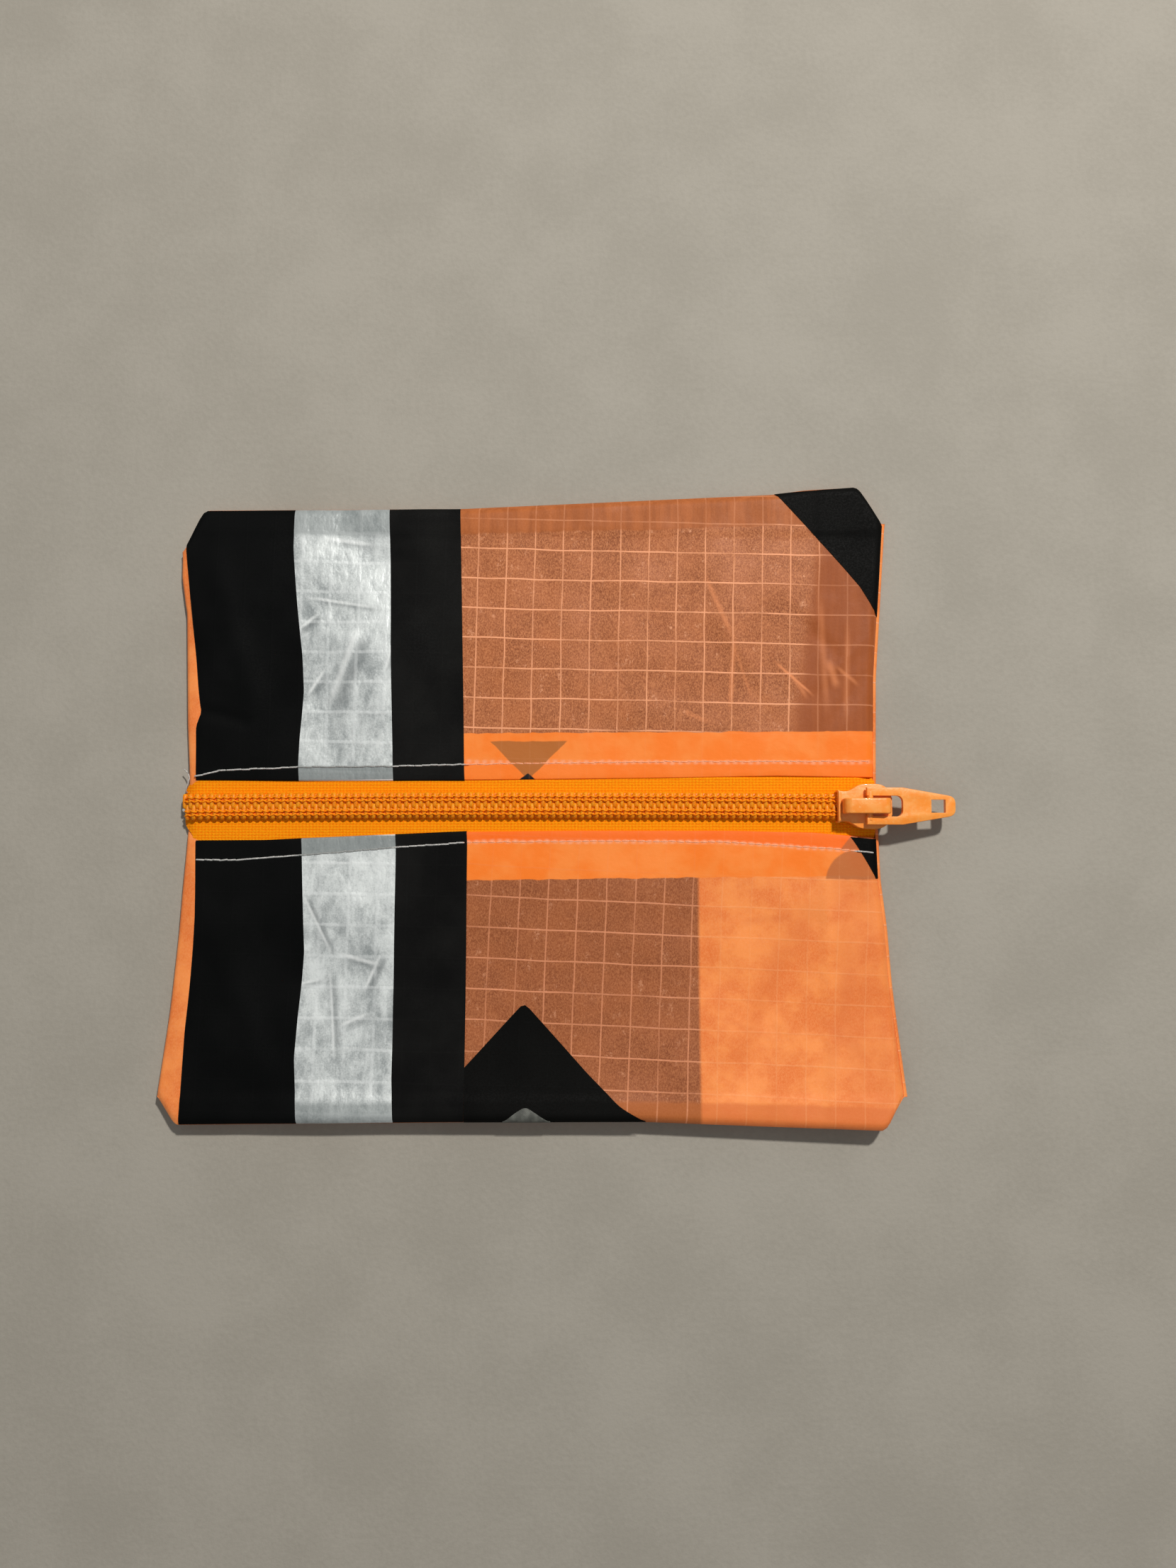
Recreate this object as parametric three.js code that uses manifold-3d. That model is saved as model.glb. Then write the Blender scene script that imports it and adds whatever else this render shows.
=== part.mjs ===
// A flat zip pouch sewn from kite ripstop, lying on its back panel.
// Millimetres, +X along the zip towards the closed end, +Y across it, +Z up from the resting face.
import * as THREE from 'three';
import { mergeVertices } from 'three/addons/utils/BufferGeometryUtils.js';
import Module from 'manifold-3d';

const wasm = await Module();
wasm.setup();

// ---- driving dimensions: the bag ----
const zipLength = 152; // between the two side seams, along the zip
const zipLeft = -80;
const zipRight = zipLeft + zipLength;
const upperHeight = 68; // zip line to top edge
const lowerHeight = 69.5; // zip line to bottom edge
const topRise = 5; // the top edge climbs this much towards the right
const topFlareLeft = 3.5; // how far the sides lean out from the zip to the corners
const topFlareRight = 2.7;
const bottomFlareLeft = 1.5;
const bottomFlareRight = 4.8;
const cornerCut = 7; // height of the cut across each seam corner
const backRollUpper = 2; // how far the back cloth rolls out past the front, on the left
const backRollLower = 5;

// ---- driving dimensions: cloth, patches and seams ----
const clothThickness = 0.3;
const patchThickness = 0.15;
const patchGap = 0.3; // between neighbouring patches
const patchInset = 0.3; // from a patch to the sewn edge
const blackBlockWidth = 23;
const silverWidth = 21;
const blackStripWidth = 16;
const plainBackWidth = 39; // the lower right part of the back that has no dark cloth behind it
const cornerPatchReach = 22; // the upper corner patch, along the top and down the side
const cornerPatchDrop = 30;
const peakRise = 25; // the black peak over the bottom edge
const greyPeakRise = 4;
const greyPeakHalf = 5;
const lowPatchReach = 6;
const lowPatchDrop = 10;
const hemWidth = 10; // cloth folded under behind the lip
const allowanceWidth = 6; // turned-in seam allowance
const allowanceInset = 1.4; // it starts this far in from the sewn edge
const seamThreadInset = 0.7;
const seamThreadSize = 0.4;
const topstitchOffset = 3.1; // from the lip to the topstitching
const topstitchSize = 0.4;
const threadTailLength = 5;

// ---- driving dimensions: the size 5 coil zip ----
const tapeWidth = 12;
const tapeThickness = 0.5;
const coilGap = 0.15; // zip line to each coil
const coilWidth = 2.85;
const coilHeight = 1.6;
const fillerDiameter = 0.6;
const coilStitchWidth = 0.4;
const coilStitchHeight = 0.25;
const coilEndGap = 0.8; // between the end of the coils and the side seam

// ---- driving dimensions: the slider and its pull ----
const sliderLength = 12;
const sliderOverhang = 3; // past the right side seam, when closed
const sliderFrontWidth = 10;
const sliderPlate = 1;
const sliderFlange = 0.45;
const neckWidth = 2.4;
const neckLength = 2;
const neckSetback = 0.7; // from the front of the plates
const capSetback = 0.7; // from each end of the plates
const capWidth = 3.4;
const capWall = 0.5;
const pivotHeight = 1.1; // above the top plate
const pivotFromFront = 5.15;
const crossbarDiameter = 1.4;
const pullLength = 19.9;
const pullHeel = 0.85; // from the pivot back to the ends of the arms
const pullArmWidth = 1.8;
const pullTipWidth = 4.8;
const pullThickness = 1.2;
const pullSlotMargin = 2.75; // from the front of the cap to the end of the slot
const pullHoleLength = 3.2;
const pullHoleWidth = 2.9;
const pullHoleFromTip = 3.9; // centre of the hole
const springThickness = 0.3;
const springLift = 0.5; // how far the locking pin rises
const pinWidth = 0.9;
const pinThickness = 0.5;

// ---- named clearances and the stack of layers they give ----
const layerGap = 0.05; // between cloth layers that lie on each other
const runningGap = 0.15; // between the slider and what it runs along
const pinGap = 0.3; // around the pin, the crossbar and the filler cords
const lipGap = 0.6; // from the slider to the folded lips
const tapeGap = 0.2; // from the neck to the tapes
const chainGap = 0.35; // from the chain to the flanges and to the pull above it
const armGap = 0.6; // from the cap to the arms of the pull
const springSide = 0.45; // from the leaf to the walls of the cap

// ---- sizes that follow from them ----
const foldOffset = sliderFrontWidth / 2 + lipGap; // zip line to the folded lip of each front panel
const tapeEdge = neckWidth / 2 + tapeGap; // zip line to the inner edge of each tape
const coilBore = fillerDiameter + pinGap;
const sliderRearWidth = 2 * (coilGap + coilWidth + chainGap + sliderFlange);
const capLength = sliderLength - 2 * capSetback;
const capHeight = pivotHeight + crossbarDiameter / 2 + springThickness + springLift + capWall + 0.2;
const pullSlotWidth = capWidth + 2 * armGap;
const pullWidth = pullSlotWidth + 2 * pullArmWidth;
const pullSlotReach = pivotFromFront - capSetback + pullSlotMargin; // pivot to the end of the slot
const backTop = clothThickness;
const plateBottom = backTop + patchThickness + 0.4; // the bag keeps clear of the moving plate
const tapeBottom = plateBottom + sliderPlate + runningGap;
const tapeTop = tapeBottom + tapeThickness;
const allowanceTop = tapeBottom - 2 * layerGap;
const hemBottom = tapeTop + layerGap;
const panelBottom = hemBottom + clothThickness;
const panelTop = panelBottom + clothThickness;
const patchTop = panelTop + patchThickness;
const coilBottom = tapeTop + layerGap;
const coilTop = coilBottom + coilHeight;
const coilStitchTop = coilTop + coilStitchHeight;
const topPlateBottom = coilStitchTop + runningGap;
const topPlateTop = topPlateBottom + sliderPlate;
const capBottom = topPlateTop;
const pivotZ = topPlateTop + pivotHeight;
const coilMiddle = coilGap + coilWidth / 2;
const pullDrop = pivotZ - pullThickness / 2 - coilStitchTop - chainGap;
const pullTilt = Math.asin(pullDrop / (pullLength - pullHeel)); // the tip rests just above the chain

// ---- materials ----
function finish(color, roughness, metalness = 0) {
  return new THREE.MeshStandardMaterial({ color, roughness, metalness });
}
const orangeRipstop = finish(0xd96a2c, 0.7);
const blackRipstop = finish(0x111112, 0.6);
const silverCloth = finish(0xb0b8ba, 0.35, 0.4);
const greyCloth = finish(0x77797a, 0.6);
const whiteThread = finish(0xe9e4dc, 0.8);
const orangeThread = finish(0xe0701c, 0.8);
const orangeTape = finish(0xf08a14, 0.85);
const orangeCoil = finish(0xf9901a, 0.5);
const paintedMetal = finish(0xff9650, 0.45, 0.2);
const springSteel = finish(0x9a9a98, 0.35, 0.9);

// ---- helpers: solids ----
function solidOf(geometry) {
  const bare = geometry.index ? geometry.toNonIndexed() : geometry.clone();
  bare.deleteAttribute('normal');
  bare.deleteAttribute('uv');
  const merged = mergeVertices(bare, 1e-4);
  const vertProperties = Float32Array.from(merged.attributes.position.array);
  const triVerts = Uint32Array.from(merged.index.array);
  return new wasm.Manifold(new wasm.Mesh({ numProp: 3, vertProperties, triVerts }));
}

function geometryOf(solid) {
  const mesh = solid.getMesh();
  const geometry = new THREE.BufferGeometry();
  geometry.setAttribute('position', new THREE.BufferAttribute(mesh.vertProperties, 3));
  geometry.setIndex(new THREE.BufferAttribute(mesh.triVerts, 1));
  geometry.computeVertexNormals();
  return geometry;
}

function named(name, geometry, material) {
  const mesh = new THREE.Mesh(geometry, material);
  mesh.name = name;
  return mesh;
}

// a flat sheet of the given outline, between two heights
function sheet(points, bottom, top, holes = []) {
  const shape = new THREE.Shape(points.map(([x, y]) => new THREE.Vector2(x, y)));
  shape.holes = holes.map((hole) => new THREE.Path(hole.map(([x, y]) => new THREE.Vector2(x, y))));
  const geometry = new THREE.ExtrudeGeometry(shape, { depth: top - bottom, bevelEnabled: false });
  return geometry.translate(0, 0, bottom);
}

function box(x0, x1, y0, y1, z0, z1) {
  const geometry = new THREE.BoxGeometry(x1 - x0, y1 - y0, z1 - z0);
  return geometry.translate((x0 + x1) / 2, (y0 + y1) / 2, (z0 + z1) / 2);
}

// every edge of a counterclockwise outline moved inwards by the same distance
function inset(points, distance) {
  const lines = points.map(([x, y], i) => {
    const [nextX, nextY] = points[(i + 1) % points.length];
    const length = Math.hypot(nextX - x, nextY - y);
    const along = [(nextX - x) / length, (nextY - y) / length];
    return { x: x - along[1] * distance, y: y + along[0] * distance, along };
  });
  return lines.map((line, i) => {
    const before = lines[(i + lines.length - 1) % lines.length];
    const cross = before.along[0] * line.along[1] - before.along[1] * line.along[0];
    if (Math.abs(cross) < 1e-6) return [line.x, line.y];
    const reach = ((line.x - before.x) * line.along[1] - (line.y - before.y) * line.along[0]) / cross;
    return [before.x + before.along[0] * reach, before.y + before.along[1] * reach];
  });
}

// ---- outlines, counterclockwise ----
const blackBlockRight = zipLeft + blackBlockWidth;
const silverRight = blackBlockRight + silverWidth;
const blackStripRight = silverRight + blackStripWidth;

const upperRightEdge = [
  [zipRight + topFlareRight, upperHeight + topRise - cornerCut - 2],
  [zipRight - 3, upperHeight + topRise],
];
const topEdge = [[blackStripRight, upperHeight]];
const lowerRightEdge = [
  [zipRight, -lowerHeight - 1],
  [zipRight + bottomFlareRight, -lowerHeight + cornerCut],
];
const bottomEdge = [[blackStripRight + 40, -lowerHeight + 1]];
const upperFront = [
  [zipLeft, foldOffset],
  [zipRight, foldOffset],
  ...upperRightEdge,
  ...topEdge,
  [zipLeft, upperHeight],
  [zipLeft - topFlareLeft, upperHeight - cornerCut],
];
const lowerFront = [
  [zipRight, -foldOffset],
  [zipLeft, -foldOffset],
  [zipLeft - bottomFlareLeft, -lowerHeight],
  ...bottomEdge,
  ...lowerRightEdge,
];
const backOutline = [
  [zipRight, 0],
  ...upperRightEdge,
  ...topEdge,
  [zipLeft, upperHeight],
  [zipLeft - topFlareLeft - 1, upperHeight - cornerCut],
  [zipLeft - backRollUpper, 0],
  [zipLeft - bottomFlareLeft - backRollLower, -lowerHeight + cornerCut],
  [zipLeft - bottomFlareLeft - 1, -lowerHeight],
  ...bottomEdge,
  ...lowerRightEdge,
];
const beyond = 30; // patches are drawn past the sewn edges and then cut to them

// ---- cloth ----
function backPanel() {
  const rim = inset(backOutline, allowanceInset);
  const rimInner = inset(backOutline, allowanceInset + allowanceWidth);
  const allowance = solidOf(sheet(rim, backTop / 2, allowanceTop, [rimInner]));
  const mouthEnd = foldOffset + patchGap;
  const notch = solidOf(
    box(zipRight - beyond, zipRight + beyond, -mouthEnd, mouthEnd, backTop, allowanceTop + 1),
  );
  const panel = solidOf(sheet(backOutline, 0, backTop)).add(allowance.subtract(notch));
  return named('back_panel', geometryOf(panel), orangeRipstop);
}

// the dark cloth behind the orange: all of the upper half, and the left part of the lower half
function backBlackBlock() {
  const corner = [
    [zipLeft - beyond, -lowerHeight - beyond],
    [zipRight - plainBackWidth, -lowerHeight - beyond],
    [zipRight - plainBackWidth, 0],
    [zipRight + beyond, 0],
    [zipRight + beyond, upperHeight + beyond],
    [zipLeft - beyond, upperHeight + beyond],
  ];
  const room = inset(backOutline, allowanceInset + allowanceWidth + patchGap);
  const top = backTop + patchThickness;
  const block = solidOf(sheet(corner, backTop, top)).intersect(solidOf(sheet(room, backTop, top)));
  return named('back_black_block', geometryOf(block), blackRipstop);
}

// a front panel with its hem folded under along the lip
function frontPanel(name, outline, side) {
  const flat = solidOf(sheet(outline, panelBottom, panelTop));
  const lip = side * foldOffset;
  const inner = side * (foldOffset + hemWidth);
  const band = box(
    zipLeft - beyond, zipRight + beyond, Math.min(lip, inner), Math.max(lip, inner), hemBottom, panelTop,
  );
  const whole = solidOf(sheet(outline, hemBottom, panelTop));
  return named(name, geometryOf(flat.add(whole.intersect(solidOf(band)))), orangeRipstop);
}

// a patch bonded to a front panel, cut to the panel's sewn edge
function patch(name, points, outline, material, bottom = panelTop) {
  const top = bottom + patchThickness;
  const room = solidOf(sheet(inset(outline, patchInset), bottom, top));
  const piece = solidOf(sheet(points, bottom, top)).intersect(room);
  return named(name, geometryOf(piece), material);
}

function column(left, right, side) {
  const near = side * foldOffset / 2;
  const far = side * (Math.max(upperHeight, lowerHeight) + beyond);
  const [low, high] = side > 0 ? [near, far] : [far, near];
  return [[left, low], [right, low], [right, high], [left, high]];
}

function upperPatches() {
  const farLeft = zipLeft - beyond;
  const farTop = upperHeight + beyond;
  const cornerX = zipRight - cornerPatchReach;
  const cornerY = upperHeight + topRise - cornerPatchDrop;
  const corner = [
    [zipRight + beyond, cornerY],
    [zipRight + beyond, farTop],
    [cornerX, farTop],
    [cornerX, upperHeight + topRise - 2],
    [cornerX + cornerPatchReach - 3, cornerY + 7],
    [zipRight + 1, cornerY],
  ];
  const silver = column(blackBlockRight + patchGap, silverRight, 1);
  const strip = column(silverRight + patchGap, blackStripRight, 1);
  return [
    patch('black_block_upper', column(farLeft, blackBlockRight, 1), upperFront, blackRipstop),
    patch('silver_strip_upper', silver, upperFront, silverCloth),
    patch('black_strip_upper', strip, upperFront, blackRipstop),
    patch('black_corner_upper', corner, upperFront, blackRipstop),
  ];
}

function lowerPatches() {
  const farLeft = zipLeft - beyond;
  const farDown = -lowerHeight - beyond;
  const peakX = blackStripRight + 13.5;
  const peakY = -lowerHeight + peakRise;
  const stripWithPeak = [
    [silverRight + patchGap, farDown],
    [blackStripRight + 41, farDown],
    [blackStripRight + 41, -lowerHeight],
    [blackStripRight + 35, -lowerHeight + 4],
    [peakX, peakY],
    [blackStripRight, peakY - 13.5],
    [blackStripRight, 0],
    [silverRight + patchGap, 0],
  ];
  const greyPeak = [
    [peakX - greyPeakHalf, -lowerHeight],
    [peakX + greyPeakHalf, -lowerHeight],
    [peakX, -lowerHeight + greyPeakRise],
  ];
  const lowCorner = [
    [zipRight - lowPatchReach, 0],
    [zipRight - lowPatchReach, -foldOffset],
    [zipRight, -foldOffset - lowPatchDrop],
    [zipRight + beyond, -foldOffset - lowPatchDrop],
    [zipRight + beyond, 0],
  ];
  const silver = column(blackBlockRight + patchGap, silverRight, -1);
  return [
    patch('black_block_lower', column(farLeft, blackBlockRight, -1), lowerFront, blackRipstop),
    patch('silver_strip_lower', silver, lowerFront, silverCloth),
    patch('black_strip_lower', stripWithPeak, lowerFront, blackRipstop),
    patch('grey_peak_lower', greyPeak, lowerFront, greyCloth, patchTop),
    patch('black_corner_lower', lowCorner, lowerFront, blackRipstop),
  ];
}

// ---- sewing threads ----
function seamThread() {
  const outer = inset(backOutline, seamThreadInset);
  const inner = inset(backOutline, seamThreadInset + seamThreadSize);
  const bottom = backTop + layerGap;
  return named('seam_thread', sheet(outer, bottom, bottom + seamThreadSize, [inner]), whiteThread);
}

function topstitch(name, side, tail) {
  const middle = side * (foldOffset + topstitchOffset);
  const low = middle - topstitchSize / 2;
  const bottom = patchTop + layerGap;
  const left = zipLeft + patchInset - tail;
  return named(
    name,
    box(left, zipRight - patchInset, low, low + topstitchSize, bottom, bottom + topstitchSize),
    whiteThread,
  );
}

// ---- the zip chain ----
const coilLeft = zipLeft - patchGap;
const coilRight = zipRight - coilEndGap;

function tape(name, side) {
  const edges = [side * tapeEdge, side * (tapeEdge + tapeWidth)];
  const low = Math.min(...edges);
  const right = zipRight - coilEndGap / 2;
  return named(name, box(zipLeft, right, low, low + tapeWidth, tapeBottom, tapeTop), orangeTape);
}

// an extrusion along X of a section drawn in Y and Z
function alongX(shape, left, right, curveSegments) {
  const geometry = new THREE.ExtrudeGeometry(shape, {
    depth: right - left, bevelEnabled: false, curveSegments,
  });
  return geometry.rotateX(Math.PI / 2).rotateZ(Math.PI / 2).translate(left, 0, 0);
}

// the outer shape of one side of the coil, hollow for its filler cord
function coil(name, side) {
  const middleY = side * coilMiddle;
  const middleZ = coilBottom + coilHeight / 2;
  const halfWidth = coilWidth / 2;
  const halfHeight = coilHeight / 2;
  const round = coilHeight / 3;
  const section = new THREE.Shape();
  section.moveTo(middleY - halfWidth + round, middleZ - halfHeight);
  section.lineTo(middleY + halfWidth - round, middleZ - halfHeight);
  section.lineTo(middleY + halfWidth, middleZ - halfHeight + round);
  section.lineTo(middleY + halfWidth, middleZ + halfHeight - round);
  section.lineTo(middleY + halfWidth - round, middleZ + halfHeight);
  section.lineTo(middleY - halfWidth + round, middleZ + halfHeight);
  section.lineTo(middleY - halfWidth, middleZ + halfHeight - round);
  section.lineTo(middleY - halfWidth, middleZ - halfHeight + round);
  const bore = new THREE.Path();
  bore.absarc(middleY, middleZ, coilBore / 2, 0, 2 * Math.PI, true);
  section.holes = [bore];
  return named(name, alongX(section, coilLeft, coilRight, 8), orangeCoil);
}

function fillerCord(name, side) {
  const section = new THREE.Shape();
  section.absarc(side * coilMiddle, coilBottom + coilHeight / 2, fillerDiameter / 2, 0, 2 * Math.PI);
  return named(name, alongX(section, coilLeft, coilRight, 6), orangeThread);
}

function coilStitch(name, side) {
  const low = side * coilMiddle - coilStitchWidth / 2;
  return named(
    name,
    box(coilLeft, coilRight, low, low + coilStitchWidth, coilTop, coilStitchTop),
    orangeThread,
  );
}

// ---- the slider, drawn with the front of its plates at x = 0 ----
const capFront = -capSetback;
const capRear = capFront - capLength;
const pivotX = -pivotFromFront;
const pinX = capRear + capWall + pinGap + pinThickness;

function platePoints(narrower) {
  const rear = sliderRearWidth / 2 - narrower;
  const front = sliderFrontWidth / 2 - narrower;
  const round = 1.2;
  const side = [
    [-sliderLength, rear - round],
    [-sliderLength + round / 2, rear],
    [-0.72 * sliderLength, rear],
    [-0.5 * sliderLength, (rear + front) / 2],
    [-0.34 * sliderLength, front],
    [-round, front],
    [0, front - round],
  ];
  return [...side.map(([x, y]) => [x, -y]), ...side.reverse()];
}

function sliderBody() {
  const outline = platePoints(0);
  const plates = solidOf(sheet(outline, topPlateBottom, topPlateTop)).add(
    solidOf(sheet(outline, plateBottom, plateBottom + sliderPlate)),
  );
  const flangeBottom = tapeTop + runningGap;
  const channel = sheet(platePoints(sliderFlange), flangeBottom - 1, topPlateBottom);
  const channelEnds = box(
    -sliderLength - 1, 1, sliderFlange - sliderRearWidth / 2, sliderRearWidth / 2 - sliderFlange,
    flangeBottom - 1, topPlateBottom,
  );
  const flanges = solidOf(sheet(outline, flangeBottom, topPlateBottom))
    .subtract(solidOf(channel))
    .subtract(solidOf(channelEnds));
  const neckFront = -neckSetback;
  const neckRear = neckFront - neckLength;
  const neckOutline = [
    [neckRear, 0],
    [neckRear + neckLength / 2, -neckWidth / 2],
    [neckFront, -neckWidth / 2],
    [neckFront, neckWidth / 2],
    [neckRear + neckLength / 2, neckWidth / 2],
  ];
  const neck = sheet(neckOutline, plateBottom + sliderPlate / 2, topPlateBottom + sliderPlate / 2);
  const pinHole = box(
    pinX - pinThickness / 2 - pinGap, pinX + pinThickness / 2 + pinGap,
    -pinWidth / 2 - pinGap, pinWidth / 2 + pinGap, topPlateBottom - 1, topPlateTop + 1,
  );
  const body = plates.add(flanges).add(solidOf(neck)).subtract(solidOf(pinHole));
  return named('slider_body', geometryOf(body), paintedMetal);
}


// the bridge over the pull's crossbar, closed at both ends and open underneath
function sliderCap() {
  const top = capBottom + capHeight;
  const slope = 1.2 * capWall;
  const side = new THREE.Shape([
    new THREE.Vector2(capRear, capBottom),
    new THREE.Vector2(capFront, capBottom),
    new THREE.Vector2(capFront, top - slope),
    new THREE.Vector2(capFront - slope, top),
    new THREE.Vector2(capRear + slope, top),
    new THREE.Vector2(capRear, top - slope),
  ]);
  const blank = new THREE.ExtrudeGeometry(side, { depth: capWidth, bevelEnabled: false });
  blank.rotateX(Math.PI / 2).translate(0, capWidth / 2, 0);
  const halfInside = capWidth / 2 - capWall;
  const inside = box(
    capRear + capWall, capFront - capWall, -halfInside, halfInside, capBottom - 1, top - capWall,
  );
  const windowHalf = crossbarDiameter / 2 + pinGap;
  const window = box(
    pivotX - windowHalf, pivotX + windowHalf, -capWidth, capWidth, capBottom - 1, pivotZ + windowHalf,
  );
  const cap = solidOf(blank).subtract(solidOf(inside)).subtract(solidOf(window));
  return named('slider_cap', geometryOf(cap), paintedMetal);
}

// a leaf over the crossbar with a locking pin at its rear end
function lockSpring() {
  const bottom = pivotZ + crossbarDiameter / 2 + runningGap;
  const top = bottom + springThickness;
  const rear = pinX - pinThickness / 2;
  const front = capFront - capWall - pinGap;
  const half = capWidth / 2 - capWall - springSide;
  const leaf = box(rear, front, -half, half, bottom, top);
  const pinTip = topPlateBottom + runningGap;
  const pin = box(rear, rear + pinThickness, -pinWidth / 2, pinWidth / 2, pinTip, top);
  return named('lock_spring', geometryOf(solidOf(leaf).add(solidOf(pin))), springSteel);
}

// ---- the pull, drawn level with its pivot at the origin ----
function pullTab() {
  const bevel = 0.2;
  const half = pullWidth / 2 - bevel;
  const tipHalf = pullTipWidth / 2 - bevel;
  const heel = -pullHeel + bevel;
  const tip = heel + pullLength - 2 * bevel;
  const shoulder = pullSlotReach;
  const outline = new THREE.Shape();
  outline.moveTo(heel, -half);
  outline.lineTo(shoulder, -half);
  outline.lineTo(tip - 1.6, -tipHalf);
  outline.quadraticCurveTo(tip, -tipHalf + 0.2, tip, -tipHalf + 1.5);
  outline.lineTo(tip, tipHalf - 1.5);
  outline.quadraticCurveTo(tip, tipHalf - 0.2, tip - 1.6, tipHalf);
  outline.lineTo(shoulder, half);
  outline.lineTo(heel, half);
  const plate = new THREE.ExtrudeGeometry(outline, {
    depth: pullThickness - 2 * bevel,
    bevelThickness: bevel, bevelSize: bevel, bevelSegments: 2, curveSegments: 4,
  });
  plate.translate(0, 0, -pullThickness / 2 + bevel);
  const slotHalf = pullSlotWidth / 2;
  const slotRound = 1.4;
  const slot = new THREE.Shape();
  slot.moveTo(-2 * pullHeel, -slotHalf);
  slot.lineTo(pullSlotReach - slotRound, -slotHalf);
  slot.absarc(pullSlotReach - slotRound, -slotHalf + slotRound, slotRound, -Math.PI / 2, 0, false);
  slot.absarc(pullSlotReach - slotRound, slotHalf - slotRound, slotRound, 0, Math.PI / 2, false);
  slot.lineTo(-2 * pullHeel, slotHalf);
  const slotCut = new THREE.ExtrudeGeometry(slot, {
    depth: 2 * pullThickness, bevelEnabled: false, curveSegments: 5,
  });
  slotCut.translate(0, 0, -pullThickness);
  const holeX = -pullHeel + pullLength - pullHoleFromTip;
  const hole = box(
    holeX - pullHoleLength / 2, holeX + pullHoleLength / 2,
    -pullHoleWidth / 2, pullHoleWidth / 2, -pullThickness, pullThickness,
  );
  const armMiddle = (pullWidth + pullSlotWidth) / 4;
  const crossbar = new THREE.CylinderGeometry(
    crossbarDiameter / 2, crossbarDiameter / 2, 2 * armMiddle, 16,
  );
  const tab = solidOf(plate).subtract(solidOf(slotCut)).subtract(solidOf(hole)).add(solidOf(crossbar));
  return named('pull_tab', geometryOf(tab), paintedMetal);
}

// ---- the assembly, drawn about the zip line and then set over its own middle ----
const pouch = new THREE.Group();
pouch.add(backPanel(), backBlackBlock());
pouch.add(frontPanel('front_panel_upper', upperFront, 1), frontPanel('front_panel_lower', lowerFront, -1));
pouch.add(...upperPatches(), ...lowerPatches());
pouch.add(seamThread(), topstitch('topstitch_upper', 1, threadTailLength), topstitch('topstitch_lower', -1, 0));
for (const [half, side] of [['upper', 1], ['lower', -1]]) {
  pouch.add(tape(`zip_tape_${half}`, side), coil(`zip_coil_${half}`, side));
  pouch.add(fillerCord(`coil_cord_${half}`, side), coilStitch(`coil_stitch_${half}`, side));
}

const pull = pullTab();
pull.position.set(pivotX, 0, pivotZ);
pull.rotation.y = pullTilt;
const slider = new THREE.Group();
slider.add(sliderBody(), sliderCap(), lockSpring(), pull);
slider.position.x = zipRight + sliderOverhang;

const kitePouch = new THREE.Group();
kitePouch.add(pouch, slider);
const extent = new THREE.Box3().setFromObject(kitePouch, true);
const middle = extent.getCenter(new THREE.Vector3());
kitePouch.position.set(-middle.x, -middle.y, -extent.min.z);

export default kitePouch;
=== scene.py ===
import math

import bpy
import numpy as np
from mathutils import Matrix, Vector


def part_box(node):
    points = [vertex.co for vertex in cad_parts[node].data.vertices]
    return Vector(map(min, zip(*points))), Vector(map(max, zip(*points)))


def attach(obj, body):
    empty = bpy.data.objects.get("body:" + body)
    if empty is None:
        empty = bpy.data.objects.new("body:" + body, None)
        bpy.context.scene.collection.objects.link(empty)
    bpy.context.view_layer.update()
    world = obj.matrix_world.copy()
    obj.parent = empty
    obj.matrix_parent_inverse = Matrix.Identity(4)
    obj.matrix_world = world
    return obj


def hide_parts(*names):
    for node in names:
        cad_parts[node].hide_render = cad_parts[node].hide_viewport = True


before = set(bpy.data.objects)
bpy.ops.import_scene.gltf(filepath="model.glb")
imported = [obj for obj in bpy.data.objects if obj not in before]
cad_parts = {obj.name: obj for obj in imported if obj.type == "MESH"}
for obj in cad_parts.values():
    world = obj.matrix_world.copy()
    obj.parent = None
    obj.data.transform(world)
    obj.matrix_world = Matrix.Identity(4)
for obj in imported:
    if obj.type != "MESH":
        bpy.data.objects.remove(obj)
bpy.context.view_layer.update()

# ---- the place of everything: the zip line runs along X, and heights count from the resting face ----
# Lengths in this script are millimetres about the zip line, and place() turns them into the frame's metres.
MM = 0.001
tape_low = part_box("zip_tape_upper")[0]
coil_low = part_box("zip_coil_upper")[0]
coil_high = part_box("zip_coil_lower")[1]
SEAM_LEFT = -80.0
FRAME_X = tape_low[0] - SEAM_LEFT * MM
FRAME_Y = (coil_low[1] + coil_high[1]) / 2


def place(x, y, z):
    """Millimetres about the zip line as the frame's metres."""
    return np.stack(np.broadcast_arrays(FRAME_X + x * MM, FRAME_Y + y * MM, z * MM), axis=-1)


def height_of(node, top=True):
    """The top or bottom height of a CAD node, in millimetres."""
    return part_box(node)[1 if top else 0][2] / MM


# ---- camera, floor and light ----
# The pouch lies on a plain floor and is seen from above, leaning a little towards its lower edge.
CAMERA_REACH = 263.0
CAMERA_LEAN = math.radians(3.8)
LOOK_AT = (7.8, 5.1, 3.0)
camera_data = bpy.data.cameras.new("camera")
camera_data.sensor_fit = "VERTICAL"
camera_data.sensor_height = 36
camera_data.lens = 27.05
camera_data.clip_start = 0.01
camera = bpy.data.objects.new("camera", camera_data)
bpy.context.scene.collection.objects.link(camera)
camera.location = place(
    LOOK_AT[0],
    LOOK_AT[1] - CAMERA_REACH * math.sin(CAMERA_LEAN),
    LOOK_AT[2] + CAMERA_REACH * math.cos(CAMERA_LEAN),
)
camera.rotation_euler = (CAMERA_LEAN, 0, 0)
bpy.context.scene.camera = camera


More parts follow.
